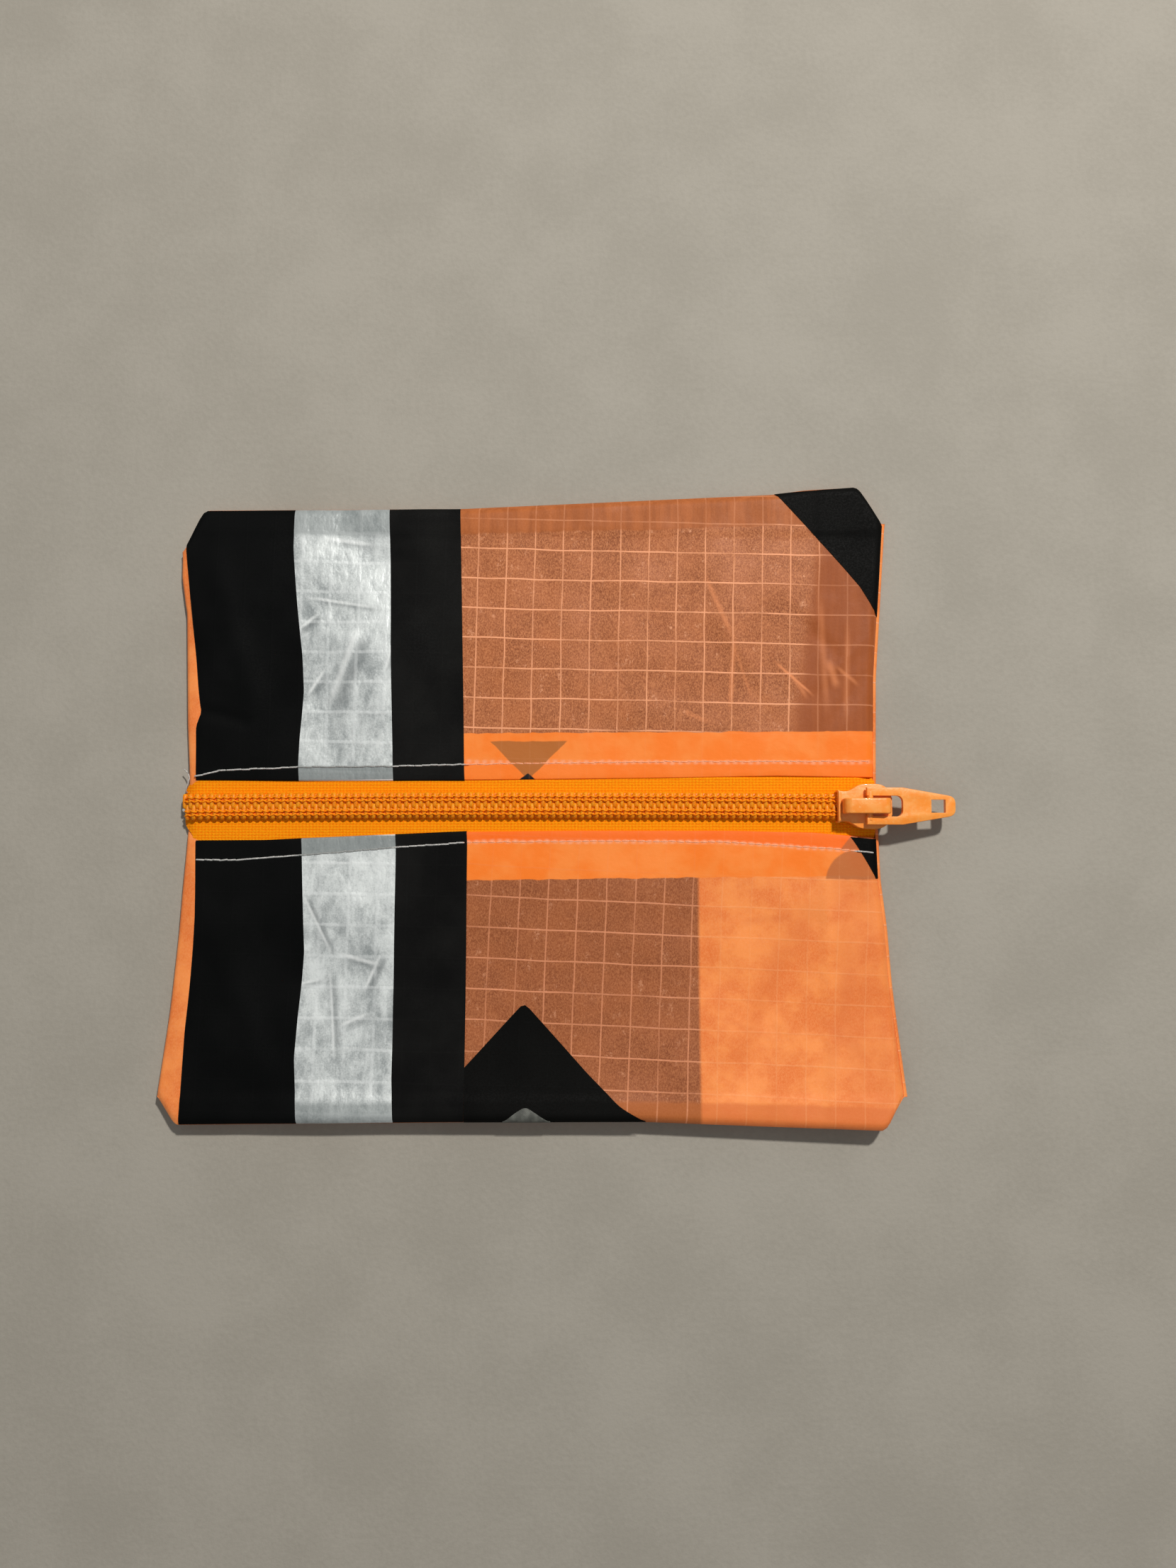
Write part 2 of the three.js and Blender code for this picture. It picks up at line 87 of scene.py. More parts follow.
def lamp(name, where, size, power, colour=(1, 1, 1)):
    """A square soft light at a place in metres, turned to the pouch."""
    data = bpy.data.lights.new(name, "AREA")
    data.size = size
    data.energy = power
    data.color = colour
    light = bpy.data.objects.new(name, data)
    bpy.context.scene.collection.objects.link(light)
    light.location = where
    light.rotation_euler = Vector(where).to_track_quat("Z", "Y").to_euler()
    return light


lamp("key", (0.3, 0.55, 0.82), 0.06, 9.2, (1, 0.965, 0.92))
lamp("fill", (-0.5, -0.35, 0.9), 0.9, 0.9)
lamp("overhead", (0.0, 0.1, 1.1), 1.0, 0.55)
world = bpy.data.worlds.new("studio")
bpy.context.scene.world = world
world.use_nodes = True
world.node_tree.nodes["Background"].inputs["Color"].default_value = (1, 1, 1, 1)
world.node_tree.nodes["Background"].inputs["Strength"].default_value = 0.15


def clear_selection():
    """Deselects everything, so that the next operator acts only on what is picked for it."""
    for found in bpy.context.selected_objects:
        found.select_set(False)


def paint(red, green, blue):
    """A colour given as screen values from 0 to 255."""
    def linear(value):
        share = value / 255
        return share / 12.92 if share <= 0.04045 else ((share + 0.055) / 1.055) ** 2.4
    return (linear(red), linear(green), linear(blue), 1.0)


class Value:
    """A value that varies over a surface. Arithmetic with it adds the nodes that work it out."""

    def __init__(self, bench, socket):
        self.bench = bench
        self.socket = socket

    def __add__(self, other):
        return self.bench.math("ADD", self, other)

    def __sub__(self, other):
        return self.bench.math("SUBTRACT", self, other)

    def __rsub__(self, other):
        return self.bench.math("SUBTRACT", other, self)

    def __mul__(self, other):
        return self.bench.math("MULTIPLY", self, other)

    def __truediv__(self, other):
        return self.bench.math("DIVIDE", self, other)

    def __abs__(self):
        return self.bench.math("ABSOLUTE", self)

    __radd__ = __add__
    __rmul__ = __mul__


class Bench:
    """Adds and joins the nodes of one material or node group."""

    def __init__(self, tree):
        self.tree = tree

    def node(self, kind, values=None, **settings):
        made = self.tree.nodes.new(kind)
        for key, value in settings.items():
            setattr(made, key, value)
        for key, value in (values or {}).items():
            self.join(value, made.inputs[key])
        return made

    def value(self, kind, values=None, output=0, **settings):
        return Value(self, self.node(kind, values, **settings).outputs[output])

    def join(self, value, socket):
        if isinstance(value, Value):
            self.tree.links.new(value.socket, socket)
        else:
            socket.default_value = value

    def math(self, operation, a, b=0.0):
        return self.value("ShaderNodeMath", {0: a, 1: b}, operation=operation)

    def larger(self, a, b):
        return self.math("MAXIMUM", a, b)

    def wave(self, value, length):
        """A sine wave along a value, from -1 to 1."""
        return self.math("SINE", value * (2 * math.pi) / length)

    def mix(self, share, a, b):
        return self.value("ShaderNodeMix", {0: share, 6: a, 7: b}, output=2, data_type="RGBA")

    def span(self, value, low, high, start=0.0, end=1.0):
        """How far a value has come from low to high, eased, and counted from start to end."""
        return self.value(
            "ShaderNodeMapRange",
            {"Value": value, "From Min": low, "From Max": high, "To Min": start, "To Max": end},
            interpolation_type="SMOOTHSTEP",
        )

    def noise(self, vector, scale, detail=2.0, roughness=0.5):
        return self.value(
            "ShaderNodeTexNoise", {"Vector": vector, "Scale": scale, "Detail": detail, "Roughness": roughness}
        )

    def bump(self, height, distance, strength=1.0):
        return self.value("ShaderNodeBump", {"Height": height, "Distance": distance, "Strength": strength})

    def scaled(self, vector, by):
        return self.value("ShaderNodeVectorMath", {0: vector, 1: by}, operation="MULTIPLY")

    def shifted(self, vector, by):
        return self.value("ShaderNodeVectorMath", {0: vector, 1: by}, operation="ADD")

    def parts(self, vector):
        """A vector's x and y."""
        made = self.node("ShaderNodeSeparateXYZ", {0: vector})
        return Value(self, made.outputs[0]), Value(self, made.outputs[1])

    def millimetres(self):
        """Object coordinates in millimetres about the zip line, as a vector and as x and y."""
        where = self.value("ShaderNodeTexCoord", output="Object")
        moved = self.value(
            "ShaderNodeMapping",
            {"Vector": where, "Location": (-FRAME_X / MM, -FRAME_Y / MM, 0), "Scale": (1 / MM,) * 3},
        )
        return moved, *self.parts(moved)


def new_material(name, **constants):
    """A material, the bench that builds it and its shader, whose constant values are set by name."""
    made = bpy.data.materials.new(name)
    made.use_nodes = True
    shader = made.node_tree.nodes["Principled BSDF"]
    for key, value in constants.items():
        label = key.replace("_", " ").title().replace("Ior", "IOR")
        shader.inputs[label].default_value = value
    return made, Bench(made.node_tree), shader


def finish_surface(bench, shader, colour, roughness, height=None, rise=0.0, strength=1.0):
    """Joins a material's varying colour, roughness and relief to its shader. rise is in metres."""
    bench.join(colour, shader.inputs["Base Color"])
    if roughness is not None:
        bench.join(roughness, shader.inputs["Roughness"])
    if height is not None:
        bench.join(bench.bump(height, rise, strength), shader.inputs["Normal"])


def new_group(name, inputs, outputs):
    """A node group with named sockets, and the bench, inputs and output node that build it."""
    group = bpy.data.node_groups.new(name, "ShaderNodeTree")
    for label, kind in inputs.items():
        group.interface.new_socket(label, in_out="INPUT", socket_type=f"NodeSocket{kind}")
    for label in outputs:
        group.interface.new_socket(label, in_out="OUTPUT", socket_type="NodeSocketFloat")
    bench = Bench(group)
    given = bench.node("NodeGroupInput").outputs
    given = {label: Value(bench, given[label]) for label in inputs}
    return group, bench, given, bench.node("NodeGroupOutput").inputs


bpy.ops.mesh.primitive_plane_add(size=6, location=(0, 0, 0))
floor = bpy.context.object
floor.name = "floor"
floor_paint, bench, shader = new_material("floor_paint", roughness=0.85)
where = bench.value("ShaderNodeTexCoord", output="Object")
cloud = bench.noise(where, 30, 5, 0.6)
grit = bench.noise(where, 900, 2, 0.6)
tone = bench.span(cloud * 0.7 + grit * 0.3, 0.35, 0.65)
tone = bench.mix(tone, paint(158, 153, 142), paint(167, 162, 151))
finish_surface(bench, shader, tone, None, grit, 0.0002, 0.4)
floor.data.materials.append(floor_paint)


# ---- the cloth's shape: outlines, folds and the height of the front ----
# The bag is sewn inside out and turned, so its edges are soft rolls. The left seam has rolled over onto
# the front, where a sliver of the back cloth shows. Outline points run from left to right or bottom to top.
def curve_through(points):
    """A function through a few points, its corners eased over about a millimetre."""
    at, value = np.array(points, float).T
    def read(t):
        return sum(np.interp(t + shift, at, value) for shift in (-0.8, -0.4, 0, 0.4, 0.8)) / 5
    return read


front_left = curve_through(
    [(-70, -81.5), (-50, -81), (-37, -80.1), (-24, -79.4), (5, -79.9), (18, -80.2), (21, -79.1),
     (26, -79.7), (36, -80.7), (50, -82.3), (60, -83.4), (69, -83.4)]
)
back_left = curve_through(
    [(-70, -86.9), (-62, -86.7), (-45, -84.8), (-28, -83.3), (-17, -82.6), (-8, -81.9), (7, -81.7),
     (19, -82.4), (44, -83.1), (52, -84.4), (59, -84.4), (69, -84.4)]
)
right_edge = curve_through(
    [(-70, 76.8), (-62, 76.8), (-53, 76), (-40, 74.7), (-27, 73.8), (-16, 72.5), (-7, 72.2), (5, 71.8),
     (17, 72), (29, 72.2), (43, 73.2), (64, 74.7), (73, 74.7)]
)
top_edge = curve_through(
    [(-84.4, 57.5), (-83.4, 59.5), (-79.5, 67.6), (-21, 68), (50, 71.3), (57, 72.3), (69, 73), (71.2, 70),
     (74.7, 64)]
)
bottom_edge = curve_through(
    [(-87, -63), (-82.5, -69.6), (-21, -68.9), (20, -68.7), (44, -69.5), (72.4, -70.4), (76.8, -63)]
)
upper_lip = curve_through([(-80, 6.1), (-57, 5.9), (-20, 6), (22, 6.4), (50, 6.9), (71, 6.6)])
lower_lip = curve_through(
    [(-80, -7.6), (-64, -7.5), (-56, -7.1), (-35, -6.2), (-19, -5.5), (5, -5.3), (40, -5.3), (58, -5.7),
     (66, -6.4), (72, -6.9)]
)
FRONT_HEIGHT = height_of("front_panel_upper")
SEAM_HEIGHT = 1.6
ROLL = 2.0
# Each crease of the front: start, end, width and rise.
FRONT_FOLDS = (
    ((60, -24), (38, -66), 3.5, -0.5),
    ((66, -20), (50, -50), 2.5, 0.35),
    ((74, -30), (70, -66), 2.0, -0.3),
    ((36, 44), (52, 20), 2.0, 0.35),
    ((52, 46), (66, 32), 1.2, -0.3),
    ((58, 26), (70, 38), 1.0, 0.3),
    ((62, 18), (70, 30), 1.1, -0.3),
    ((-78, 60), (-66, 20), 3.0, 0.35),
    ((-74, 30), (-60, 50), 3.0, -0.3),
    ((-81, 22), (-68, 19), 1.2, -0.5),
    ((-58, 42), (-38, 39), 0.7, -0.22),
    ((-57, 40), (-46, 44), 0.6, 0.25),
    ((-54, 22), (-42, 36), 2.4, -0.45),
    ((-48, 12), (-45, 40), 1.8, 0.3),
    ((-78, -20), (-62, -60), 3.0, 0.3),
    ((-52, -18), (-44, -60), 2.0, 0.25),
    ((-40, -16), (-46, -40), 1.2, -0.22),
)


def rumple(x, y, size, seed):
    """A smooth, even, random field with humps of about the given size, and a spread of about 1."""
    chance = np.random.default_rng(seed)
    total = 0
    for _ in range(26):
        way = chance.uniform(0, 2 * math.pi)
        length = size * chance.uniform(0.75, 1.6)
        along = x * math.cos(way) + y * math.sin(way)
        total = total + np.sin(2 * math.pi * along / length + chance.uniform(0, 2 * math.pi))
    return total / math.sqrt(13)


def crease(x, y, start, end, width, rise):
    """A soft ridge, or a valley if rise is negative, along a line between two points."""
    (x0, y0), (x1, y1) = start, end
    length = math.hypot(x1 - x0, y1 - y0)
    along = ((x - x0) * (x1 - x0) + (y - y0) * (y1 - y0)) / length**2
    across = ((x - x0) * (y1 - y0) - (y - y0) * (x1 - x0)) / length
    taper = np.clip(np.sin(np.pi * np.clip(along, 0, 1)), 0, 1) ** 0.5
    return rise * taper * np.exp(-((across / width) ** 2))


def rolled(distance, radius):
    """How far up a rounded edge stands at a distance in from it, from 0 to 1."""
    short = 1 - np.clip(distance / radius, 0, 1)
    return np.sqrt(1 - short**2)


def curl(x, y):
    """How far the stiff lower edge lifts off the table, most at its right corner."""
    return np.clip((-34 - y) / 35, 0, 1.1) ** 2 * (2.0 + 2.0 * np.clip((x + 80) / 150, 0, 1))


def front_height(x, y):
    """The top of the front cloth."""
    gentle = 0.22 * rumple(x, y, 34, 3) + 0.07 * rumple(x, y, 13, 8)
    folds = sum(crease(x, y, *fold) for fold in FRONT_FOLDS)
    allowance = 0.25 * (
        np.clip((y - 61.5) / 0.8, 0, 1) + np.clip((-63 - y) / 0.8, 0, 1) + np.clip((x - 59.5) / 0.8, 0, 1)
    )
    near_zip = np.clip((np.abs(y) - 7) / 12, 0, 1)
    lie = FRONT_HEIGHT - 0.35 + near_zip * (gentle + folds) + allowance * near_zip
    inside = np.minimum(np.minimum(top_edge(x) - y, y - bottom_edge(x)), right_edge(y) - x)
    edge = rolled(inside, ROLL)
    left = rolled(x - front_left(y), 0.9)
    return curl(x, y) + SEAM_HEIGHT + (lie - SEAM_HEIGHT) * edge * (0.88 + 0.12 * left)


def cloth_grid(name, columns, rows, point, thickness):
    """A fine grid bent to a shape by point(u, v), and given its thickness below that surface."""
    clear_selection()
    bpy.ops.mesh.primitive_grid_add(x_subdivisions=columns, y_subdivisions=rows, size=1, location=(0, 0, 0))
    piece = bpy.context.object
    piece.name = name
    flat = np.array([corner.co[:] for corner in piece.data.vertices]) + 0.5
    bent = place(*point(flat[:, 0], flat[:, 1]))
    piece.data.vertices.foreach_set("co", bent.astype(np.float32).ravel())
    piece.data.update()
    finish_sheet(piece, thickness)
    return piece


def finish_sheet(piece, thickness):
    """Gives a sheet its thickness and a smooth surface."""
    wall = piece.modifiers.new("thickness", "SOLIDIFY")
    wall.thickness = thickness * MM
    wall.offset = -1
    bpy.context.view_layer.objects.active = piece
    piece.select_set(True)
    bpy.ops.object.modifier_apply(modifier=wall.name)
    bpy.ops.object.shade_smooth_by_angle(angle=math.radians(50))
    piece.select_set(False)


def dress(piece, material, node, body="pouch"):
    """Gives a piece its material, puts it in a CAD node's place and fixes it to a body."""
    piece.data.materials.clear()
    piece.data.materials.append(material)
    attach(piece, body)
    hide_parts(node)


# ---- ripstop weave: what the orange, silver and black cloth share ----
# Ripstop is a fine plain weave with a thicker thread every quarter inch each way, which stands proud. Its
# lines fade and break where the coating has rubbed, and a painted glint brightens them unevenly.
grid_group, bench, given, out = new_group(
    "ripstop_grid",
    {"Vector": "Vector", "Turn": "Float", "Width": "Float"},
    ["Lines", "Height"],
)
WEFT_PITCH = 6.42
WARP_PITCH = 6.8
turned = bench.value(
    "ShaderNodeVectorRotate", {"Vector": given["Vector"], "Angle": given["Turn"]}, rotation_type="Z_AXIS"
)
moved = bench.shifted(given["Vector"], (31.7, 17.3, 5.1))
wander = bench.noise(moved, 0.05, 2) - 0.5
across_weft, across_warp = bench.parts(turned)


def grid_line(across, pitch, fade_scale, seed):
    """Thin lines a pitch apart, fading and breaking along their length."""
    step = (across + wander) / pitch
    off = abs(bench.math("FRACT", step) - 0.5)
    away = 0.5 * pitch - off * pitch
    line = bench.span(away, given["Width"] * 1.6, given["Width"] * 0.3)
    place_on = bench.shifted(given["Vector"], (seed, seed * 1.7, 0))
    cell = bench.scaled(place_on, fade_scale)
    worn = bench.span(bench.noise(cell, 1.0, 3, 0.65), 0.24, 0.6)
    # A painted glint: a highlight that brightens the lines here and there.
    glint = bench.span(bench.noise(place_on, 1.1, 2, 0.6), 0.55, 0.75)
    share = worn * 0.8 + glint * 0.35
    return line * (share + 0.2), line


warp, warp_line = grid_line(across_weft, WEFT_PITCH, (0.16, 0.05, 0.1), 3.1)
weft, weft_line = grid_line(across_warp, WARP_PITCH, (0.05, 0.16, 0.1), 11.7)
bench.join(bench.larger(warp * 0.85, weft * 1.1), out["Lines"])
bench.join(bench.larger(warp_line, weft_line), out["Height"])

weave_group, bench, given, out = new_group(
    "fine_weave", {"Vector": "Vector", "Pitch": "Float"}, ["Height", "Shade"]
)
x, y = bench.parts(given["Vector"])
woven = bench.wave(x, given["Pitch"]) * bench.wave(y, given["Pitch"])
fuzz = bench.noise(given["Vector"], 2.6, 3, 0.7)
bench.join(woven * 0.2 + fuzz, out["Height"])
bench.join(fuzz, out["Shade"])

crinkle_group, bench, given, out = new_group(
    "crinkle",
    {"Vector": "Vector", "Scale": "Float", "Stretch": "Vector"},
    ["Height", "Shade"],
)
drawn = bench.scaled(given["Vector"], given["Stretch"])
bend = bench.value(
    "ShaderNodeTexNoise", {"Vector": drawn, "Scale": given["Scale"] * 0.6, "Detail": 2.0}, output="Color"
)
shaken = bench.shifted(drawn, bend)
soft = bench.noise(shaken, given["Scale"], 4, 0.62)
veined = bench.noise(shaken, given["Scale"] * 1.7, 3, 0.6)
sharp = bench.span(abs(veined - 0.5), 0.0, 0.06)
bench.join(sharp * 0.035 + soft, out["Height"])
bench.join(sharp * 0.02 + soft, out["Shade"])


def use(bench, group, **values):
    """Places a node group on a bench with its values, and gives its outputs by name."""
    values = {key.capitalize(): value for key, value in values.items()}
    placed = bench.node("ShaderNodeGroup", values, node_tree=group)
    return {socket.name: Value(bench, socket) for socket in placed.outputs}


def beyond_line(x, y, start, end, soft=0.25):
    """1 to the left of the line from start to end, 0 to its right, in millimetres."""
    (x0, y0), (x1, y1) = start, end
    length = math.hypot(x1 - x0, y1 - y0)
    across_x, across_y = -(y1 - y0) / length, (x1 - x0) / length
    offset = -(x0 * across_x + y0 * across_y)
    return x.bench.span(x * across_x + y * across_y + offset, -soft, soft)


def all_of(*masks):
    """1 where every mask is 1."""
    together = masks[0]
    for mask in masks[1:]:
        together = together * mask
    return together


def fold_mark(x, y, start, end, width):
    """1 along a crease between two points, fading to its sides and ends."""
    along = Vector(end) - Vector(start)
    reach = along.length
    along = along / reach
    off_x, off_y = x - start[0], y - start[1]
    travel = off_x * along.x + off_y * along.y
    aside = off_x * along.y - off_y * along.x
    span = x.bench.span
    return span(abs(aside), width, 0.0) * span(travel, 0.0, 0.3 * reach) * span(travel, reach, 0.7 * reach)


# ---- orange cloth ----
# Thin orange ripstop. Where it lies over dark cloth the dark shows through and it looks brown, and where
# it is folded double, as in the hems, it is bright. The turned-in seam allowances show as even bands.
BROWN = paint(168, 92, 48)
BROWN_LIGHT = paint(218, 140, 90)
BROWN_DARK = paint(126, 62, 28)
BAND = paint(184, 102, 48)
LINE_ON_BROWN = paint(250, 172, 126)
BRIGHT = paint(255, 150, 74)
BRIGHT_DEEP = paint(236, 120, 50)
HEM = paint(255, 128, 34)
WEAVE_PITCH = 0.42


def orange_cloth(name, turn, shift, regions):
    """Orange ripstop. regions(bench, x, y, tones) paints what shows through it."""
    made, bench, shader = new_material(name, specular_ior_level=0.25, sheen_weight=0.06)
    vector, x, y = bench.millimetres()
    waver = (bench.noise(vector, 0.25, 2) - 0.5) * 0.8
    shifted = bench.shifted(vector, (*shift, 0))
    lines = use(bench, grid_group, vector=shifted, turn=turn, width=0.16)
    weave = use(bench, weave_group, vector=vector, pitch=WEAVE_PITCH)
    blotch = bench.noise(vector, 0.13, 4, 0.6)
    fibres = bench.scaled(vector, (1.0, 0.6, 1.0))
    specks = bench.span(bench.noise(fibres, 3.4, 4, 0.85), 0.36, 0.66)
    scuffs = (
        bench.span(bench.noise(fibres, 0.5, 4, 0.75), 0.58, 0.7)
        * bench.span(bench.noise(vector, 2.0, 2, 0.7), 0.4, 0.6)
    )
    streak = bench.noise(bench.scaled(vector, (0.55, 0.05, 1)), 1.0, 4, 0.6)
    dark = bench.mix(bench.span(blotch, 0.2, 0.8), BROWN_DARK, BROWN)
    dark = bench.mix(specks * 0.8, dark, BROWN_LIGHT)
    dark = bench.mix(scuffs * 0.65, dark, paint(246, 176, 134))
    band = bench.mix(bench.span(streak, 0.35, 0.65), paint(164, 88, 38), BAND)
    bright = bench.mix(bench.span(blotch, 0.35, 0.65), BRIGHT_DEEP, BRIGHT)
    bright = bench.mix(specks * 0.5, bright, paint(255, 164, 100))
    hem = bench.mix(bench.span(bench.noise(vector, 0.11, 3, 0.6), 0.35, 0.65), HEM, paint(255, 142, 58))
    tones = dict(dark=dark, band=band, bright=bright, hem=hem)
    colour, grid_share, line_colour = regions(bench, x, y + waver, tones)
    colour = bench.mix(lines["Lines"] * grid_share, colour, line_colour)
    crinkles = use(bench, crinkle_group, vector=vector, scale=0.22, stretch=(1.0, 1.0, 1.0))
    relief = lines["Height"] * grid_share * 0.5 + weave["Height"] * 0.12 + crinkles["Height"] * 1.2
    finish_surface(bench, shader, colour, bench.span(blotch, 0.3, 0.7, 0.62, 0.5), relief, 0.00009)
    return made


STITCH_PITCH = 1.75


def stitch_highlight(bench, x, y, line):
    """A painted highlight on the cloth beside the stitches, in dashes."""
    return bench.span(abs(y - line), 0.75, 0.1) * (bench.wave(x, STITCH_PITCH) * 0.3 + 0.45)


def creased(bench, x, y, colour, crease_tone, folds):
    """Mixes a tone in along creases as painted light, each given as its start, end, width and strength."""
    for start, end, width, share in folds:
        colour = bench.mix(fold_mark(x, y, start, end, width) * share, colour, crease_tone)
    return colour


def upper_regions(bench, x, y, tones):
    """The upper front: dark behind, an allowance band along the top and right, and the bright hem."""
    colour = tones["dark"]
    top_band = beyond_line(x, y, (-20, 61.8), (80, 64.5), 0.35)
    right_band = 1.0 - beyond_line(x, y, (54.0, 17), (60.5, 60), 2.2)
    banded = bench.larger(top_band, right_band)
    colour = bench.mix(banded * 0.85, colour, tones["band"])
    colour = bench.mix(right_band * 0.6, colour, paint(146, 70, 26))
    # Painted highlights: the creases on the upper front are drawn lighter than the brown.
    colour = creased(bench, x, y, colour, paint(240, 150, 96), (
        ((49.0, 33.5), (59.0, 24.6), 0.5, 0.8), ((52.5, 31.0), (57.5, 24.0), 0.8, 0.4),
        ((61.5, 34.0), (64.0, 26.0), 1.4, 0.5), ((69.0, 27.0), (63.0, 32.0), 0.7, 0.4),
        ((33.5, 54.0), (40.8, 37.0), 0.9, 0.45), ((40.8, 40.0), (39.6, 20.0), 0.9, 0.5),
        ((61.5, 19.0), (60.0, 50.0), 1.2, 0.3), ((65.5, 17.0), (66.5, 44.0), 1.0, 0.25),
        ((40.0, 38.0), (45.5, 22.0), 0.6, 0.3), ((28.0, 22.0), (36.0, 18.5), 0.8, 0.35),
    ))
    hem_start = beyond_line(x, y, (80, 17.0), (-80, 16.2), 0.12)
    colour = bench.mix(hem_start, colour, tones["hem"])
    folded = 1.0 - beyond_line(x, y, (-80, 9.9), (80, 10.2), 0.3)
    colour = bench.mix(folded * 0.5, colour, paint(255, 120, 24))
    # A painted highlight in dashes along the upper stitch row.
    colour = bench.mix(stitch_highlight(bench, x, y, 10.0), colour, paint(255, 172, 130))
    window = all_of(
        beyond_line(x, y, (3.1, 14.7), (-14.1, 14.7), 0.15),
        beyond_line(x, y, (-14.1, 14.7), (-5.6, 6.0), 0.15),
        beyond_line(x, y, (-5.6, 6.0), (3.1, 14.7), 0.15),
    )
    colour = bench.mix(window * 0.92, colour, paint(176, 104, 44))
    tip = all_of(
        beyond_line(x, y, (-3.7, 5.9), (-5.6, 7.5), 0.12),
        beyond_line(x, y, (-5.6, 7.5), (-7.7, 5.9), 0.12),
    )
    colour = bench.mix(tip, colour, paint(16, 12, 12))
    grid_share = bench.larger((1.0 - hem_start) * (1.0 - banded * 0.72), 0.05)
    return colour, grid_share, LINE_ON_BROWN


def lower_regions(bench, x, y, tones):
    """The lower front: dark behind its left part, orange behind the right, and the bright hem."""
    right_part = 1.0 - beyond_line(x, y, (32.4, -80), (32.4, 0), 0.5)
    deep_brown = bench.mix(0.35, tones["dark"], paint(128, 66, 34))
    colour = bench.mix(right_part, deep_brown, tones["bright"])
    bottom_band = 1.0 - beyond_line(x, y, (-20, -63.4), (80, -65.4), 0.5)
    side_band = 1.0 - beyond_line(x, y, (66, -80), (61, 0), 1.5)
    shaded = bench.larger(bottom_band * 0.75, side_band * 0.3)
    deep = bench.mix(right_part, BAND, paint(226, 120, 60))
    colour = bench.mix(shaded, colour, deep)
    # Painted light along creases: lighter on the brown left part, painted shade on the bright right part.
    colour = creased(bench, x, y, colour, bench.mix(right_part, BROWN, deep), (
        ((62.0, -17.0), (45.0, -40.0), 5.0, 0.3), ((52.0, -30.0), (38.0, -62.0), 3.5, 0.25),
        ((66.0, -30.0), (60.0, -64.0), 3.0, 0.3), ((40.0, -26.0), (55.0, -24.0), 1.6, 0.3),
        ((56.0, -44.0), (70.0, -56.0), 2.2, 0.25), ((36.0, -46.0), (50.0, -52.0), 1.4, 0.2),
    ))
    hem_start = beyond_line(x, y, (-80, -17.0), (80, -15.2), 0.12)
    colour = bench.mix(hem_start, colour, tones["hem"])
    row = bench.larger(x - 38.0, 0.0) * -0.072 - 7.75
    folded = bench.span(y - row, -0.1, 0.5)
    colour = bench.mix(folded * 0.75, colour, paint(255, 104, 6))
    # A painted highlight in dashes along the lower stitch row.
    colour = bench.mix(stitch_highlight(bench, x, y, row), colour, paint(255, 172, 130))
    from_corner = bench.math("SQRT", bench.math("POWER", x - 67.6, 2.0) + bench.math("POWER", y + 16.6, 2.0))
    window = all_of(
        bench.span(from_corner, 7.2, 6.7),
        beyond_line(x, y, (80, -9.5), (50, -9.5), 0.15),
        beyond_line(x, y, (50, -16.1), (80, -16.1), 0.3),
    )
    notch = all_of(
        beyond_line(x, y, (66.6, -6.2), (63.9, -9.6), 0.2),
        beyond_line(x, y, (50, -9.6), (80, -9.6), 0.2),
    )
    window = bench.larger(window, notch)
    colour = bench.mix(window * 0.75, colour, paint(172, 100, 56))
    grid_share = bench.larger((1.0 - hem_start) * (0.75 - right_part * 0.5), 0.08)
    return colour, grid_share, bench.mix(right_part, paint(232, 154, 112), paint(255, 178, 120))


def back_regions(bench, x, y, tones):
    """The back: dark cloth behind all but its lower right part, which is on the left from behind."""
    upper = beyond_line(x, y, (-80, 0), (80, 0), 0.5)
    left_part = beyond_line(x, y, (32.4, -80), (32.4, 0), 0.5)
    inner = all_of(
        bench.larger(upper, left_part),
        beyond_line(x, y, (-74.5, 80), (-74.5, -80), 0.4),
        beyond_line(x, y, (64, -80), (64, 80), 0.4),
        beyond_line(x, y, (80, 61), (-80, 61), 0.4),
        beyond_line(x, y, (-80, -61.5), (80, -61.5), 0.4),
    )
    share = bench.span(x, -80, -76, 0.06, 0.65)
    return bench.mix(inner, tones["bright"], tones["dark"]), share, LINE_ON_BROWN


orange_upper = orange_cloth("orange_upper", math.radians(1.3), (-0.9, 3.0), upper_regions)
orange_lower = orange_cloth("orange_lower", math.radians(2.5), (0, 0), lower_regions)
orange_back = orange_cloth("orange_back", math.radians(-0.6), (0, 0), back_regions)

# ---- front panels ----
# Each half of the front is one piece of orange ripstop. Its edge at the zip is turned under to make a hem
# 10 mm deep, which the topstitching holds down on the zip tape.
HEM_WIDTH = 10.0
FOLD_RADIUS = 0.25
CLOTH = 0.12
OUTLINES = {1: (upper_lip, top_edge), -1: (lower_lip, bottom_edge)}


def front_surface(side, x, along, lift=0.0):
    """Points on one half of the front. along runs from 0 at the lip to 1 at the sewn edge, and below 0
    it counts millimetres of cloth round the fold and back under the hem."""
    lip, edge = OUTLINES[side]
    radius = FOLD_RADIUS + lift
    crest = lip(x) + side * FOLD_RADIUS
    y = np.where(along >= 0, crest + np.maximum(along, 0) * (edge(x) - crest), crest)
    z = front_height(x, y) + lift
    over = np.clip(-along, 0, None)
    angle = np.clip(over / radius, 0, math.pi)
    under = np.clip(over - math.pi * radius, 0, None)
    y = y - side * radius * np.sin(angle) + side * under
    z = z - radius + radius * np.cos(angle)
    return x, y, z


def rows_with_hem(v, under, bends=7, below=4, total=78):
    """Row positions along a panel: a few under the hem, several round the fold, the rest on the front."""
    row = np.rint(v * total)
    turn = math.pi * FOLD_RADIUS
    hidden = -turn - under * (1 - row / below)
    bent = -turn * (1 - (row - below) / bends)
    front = (row - below - bends) / (total - below - bends)
    return np.where(row < below, hidden, np.where(row < below + bends, bent, front))


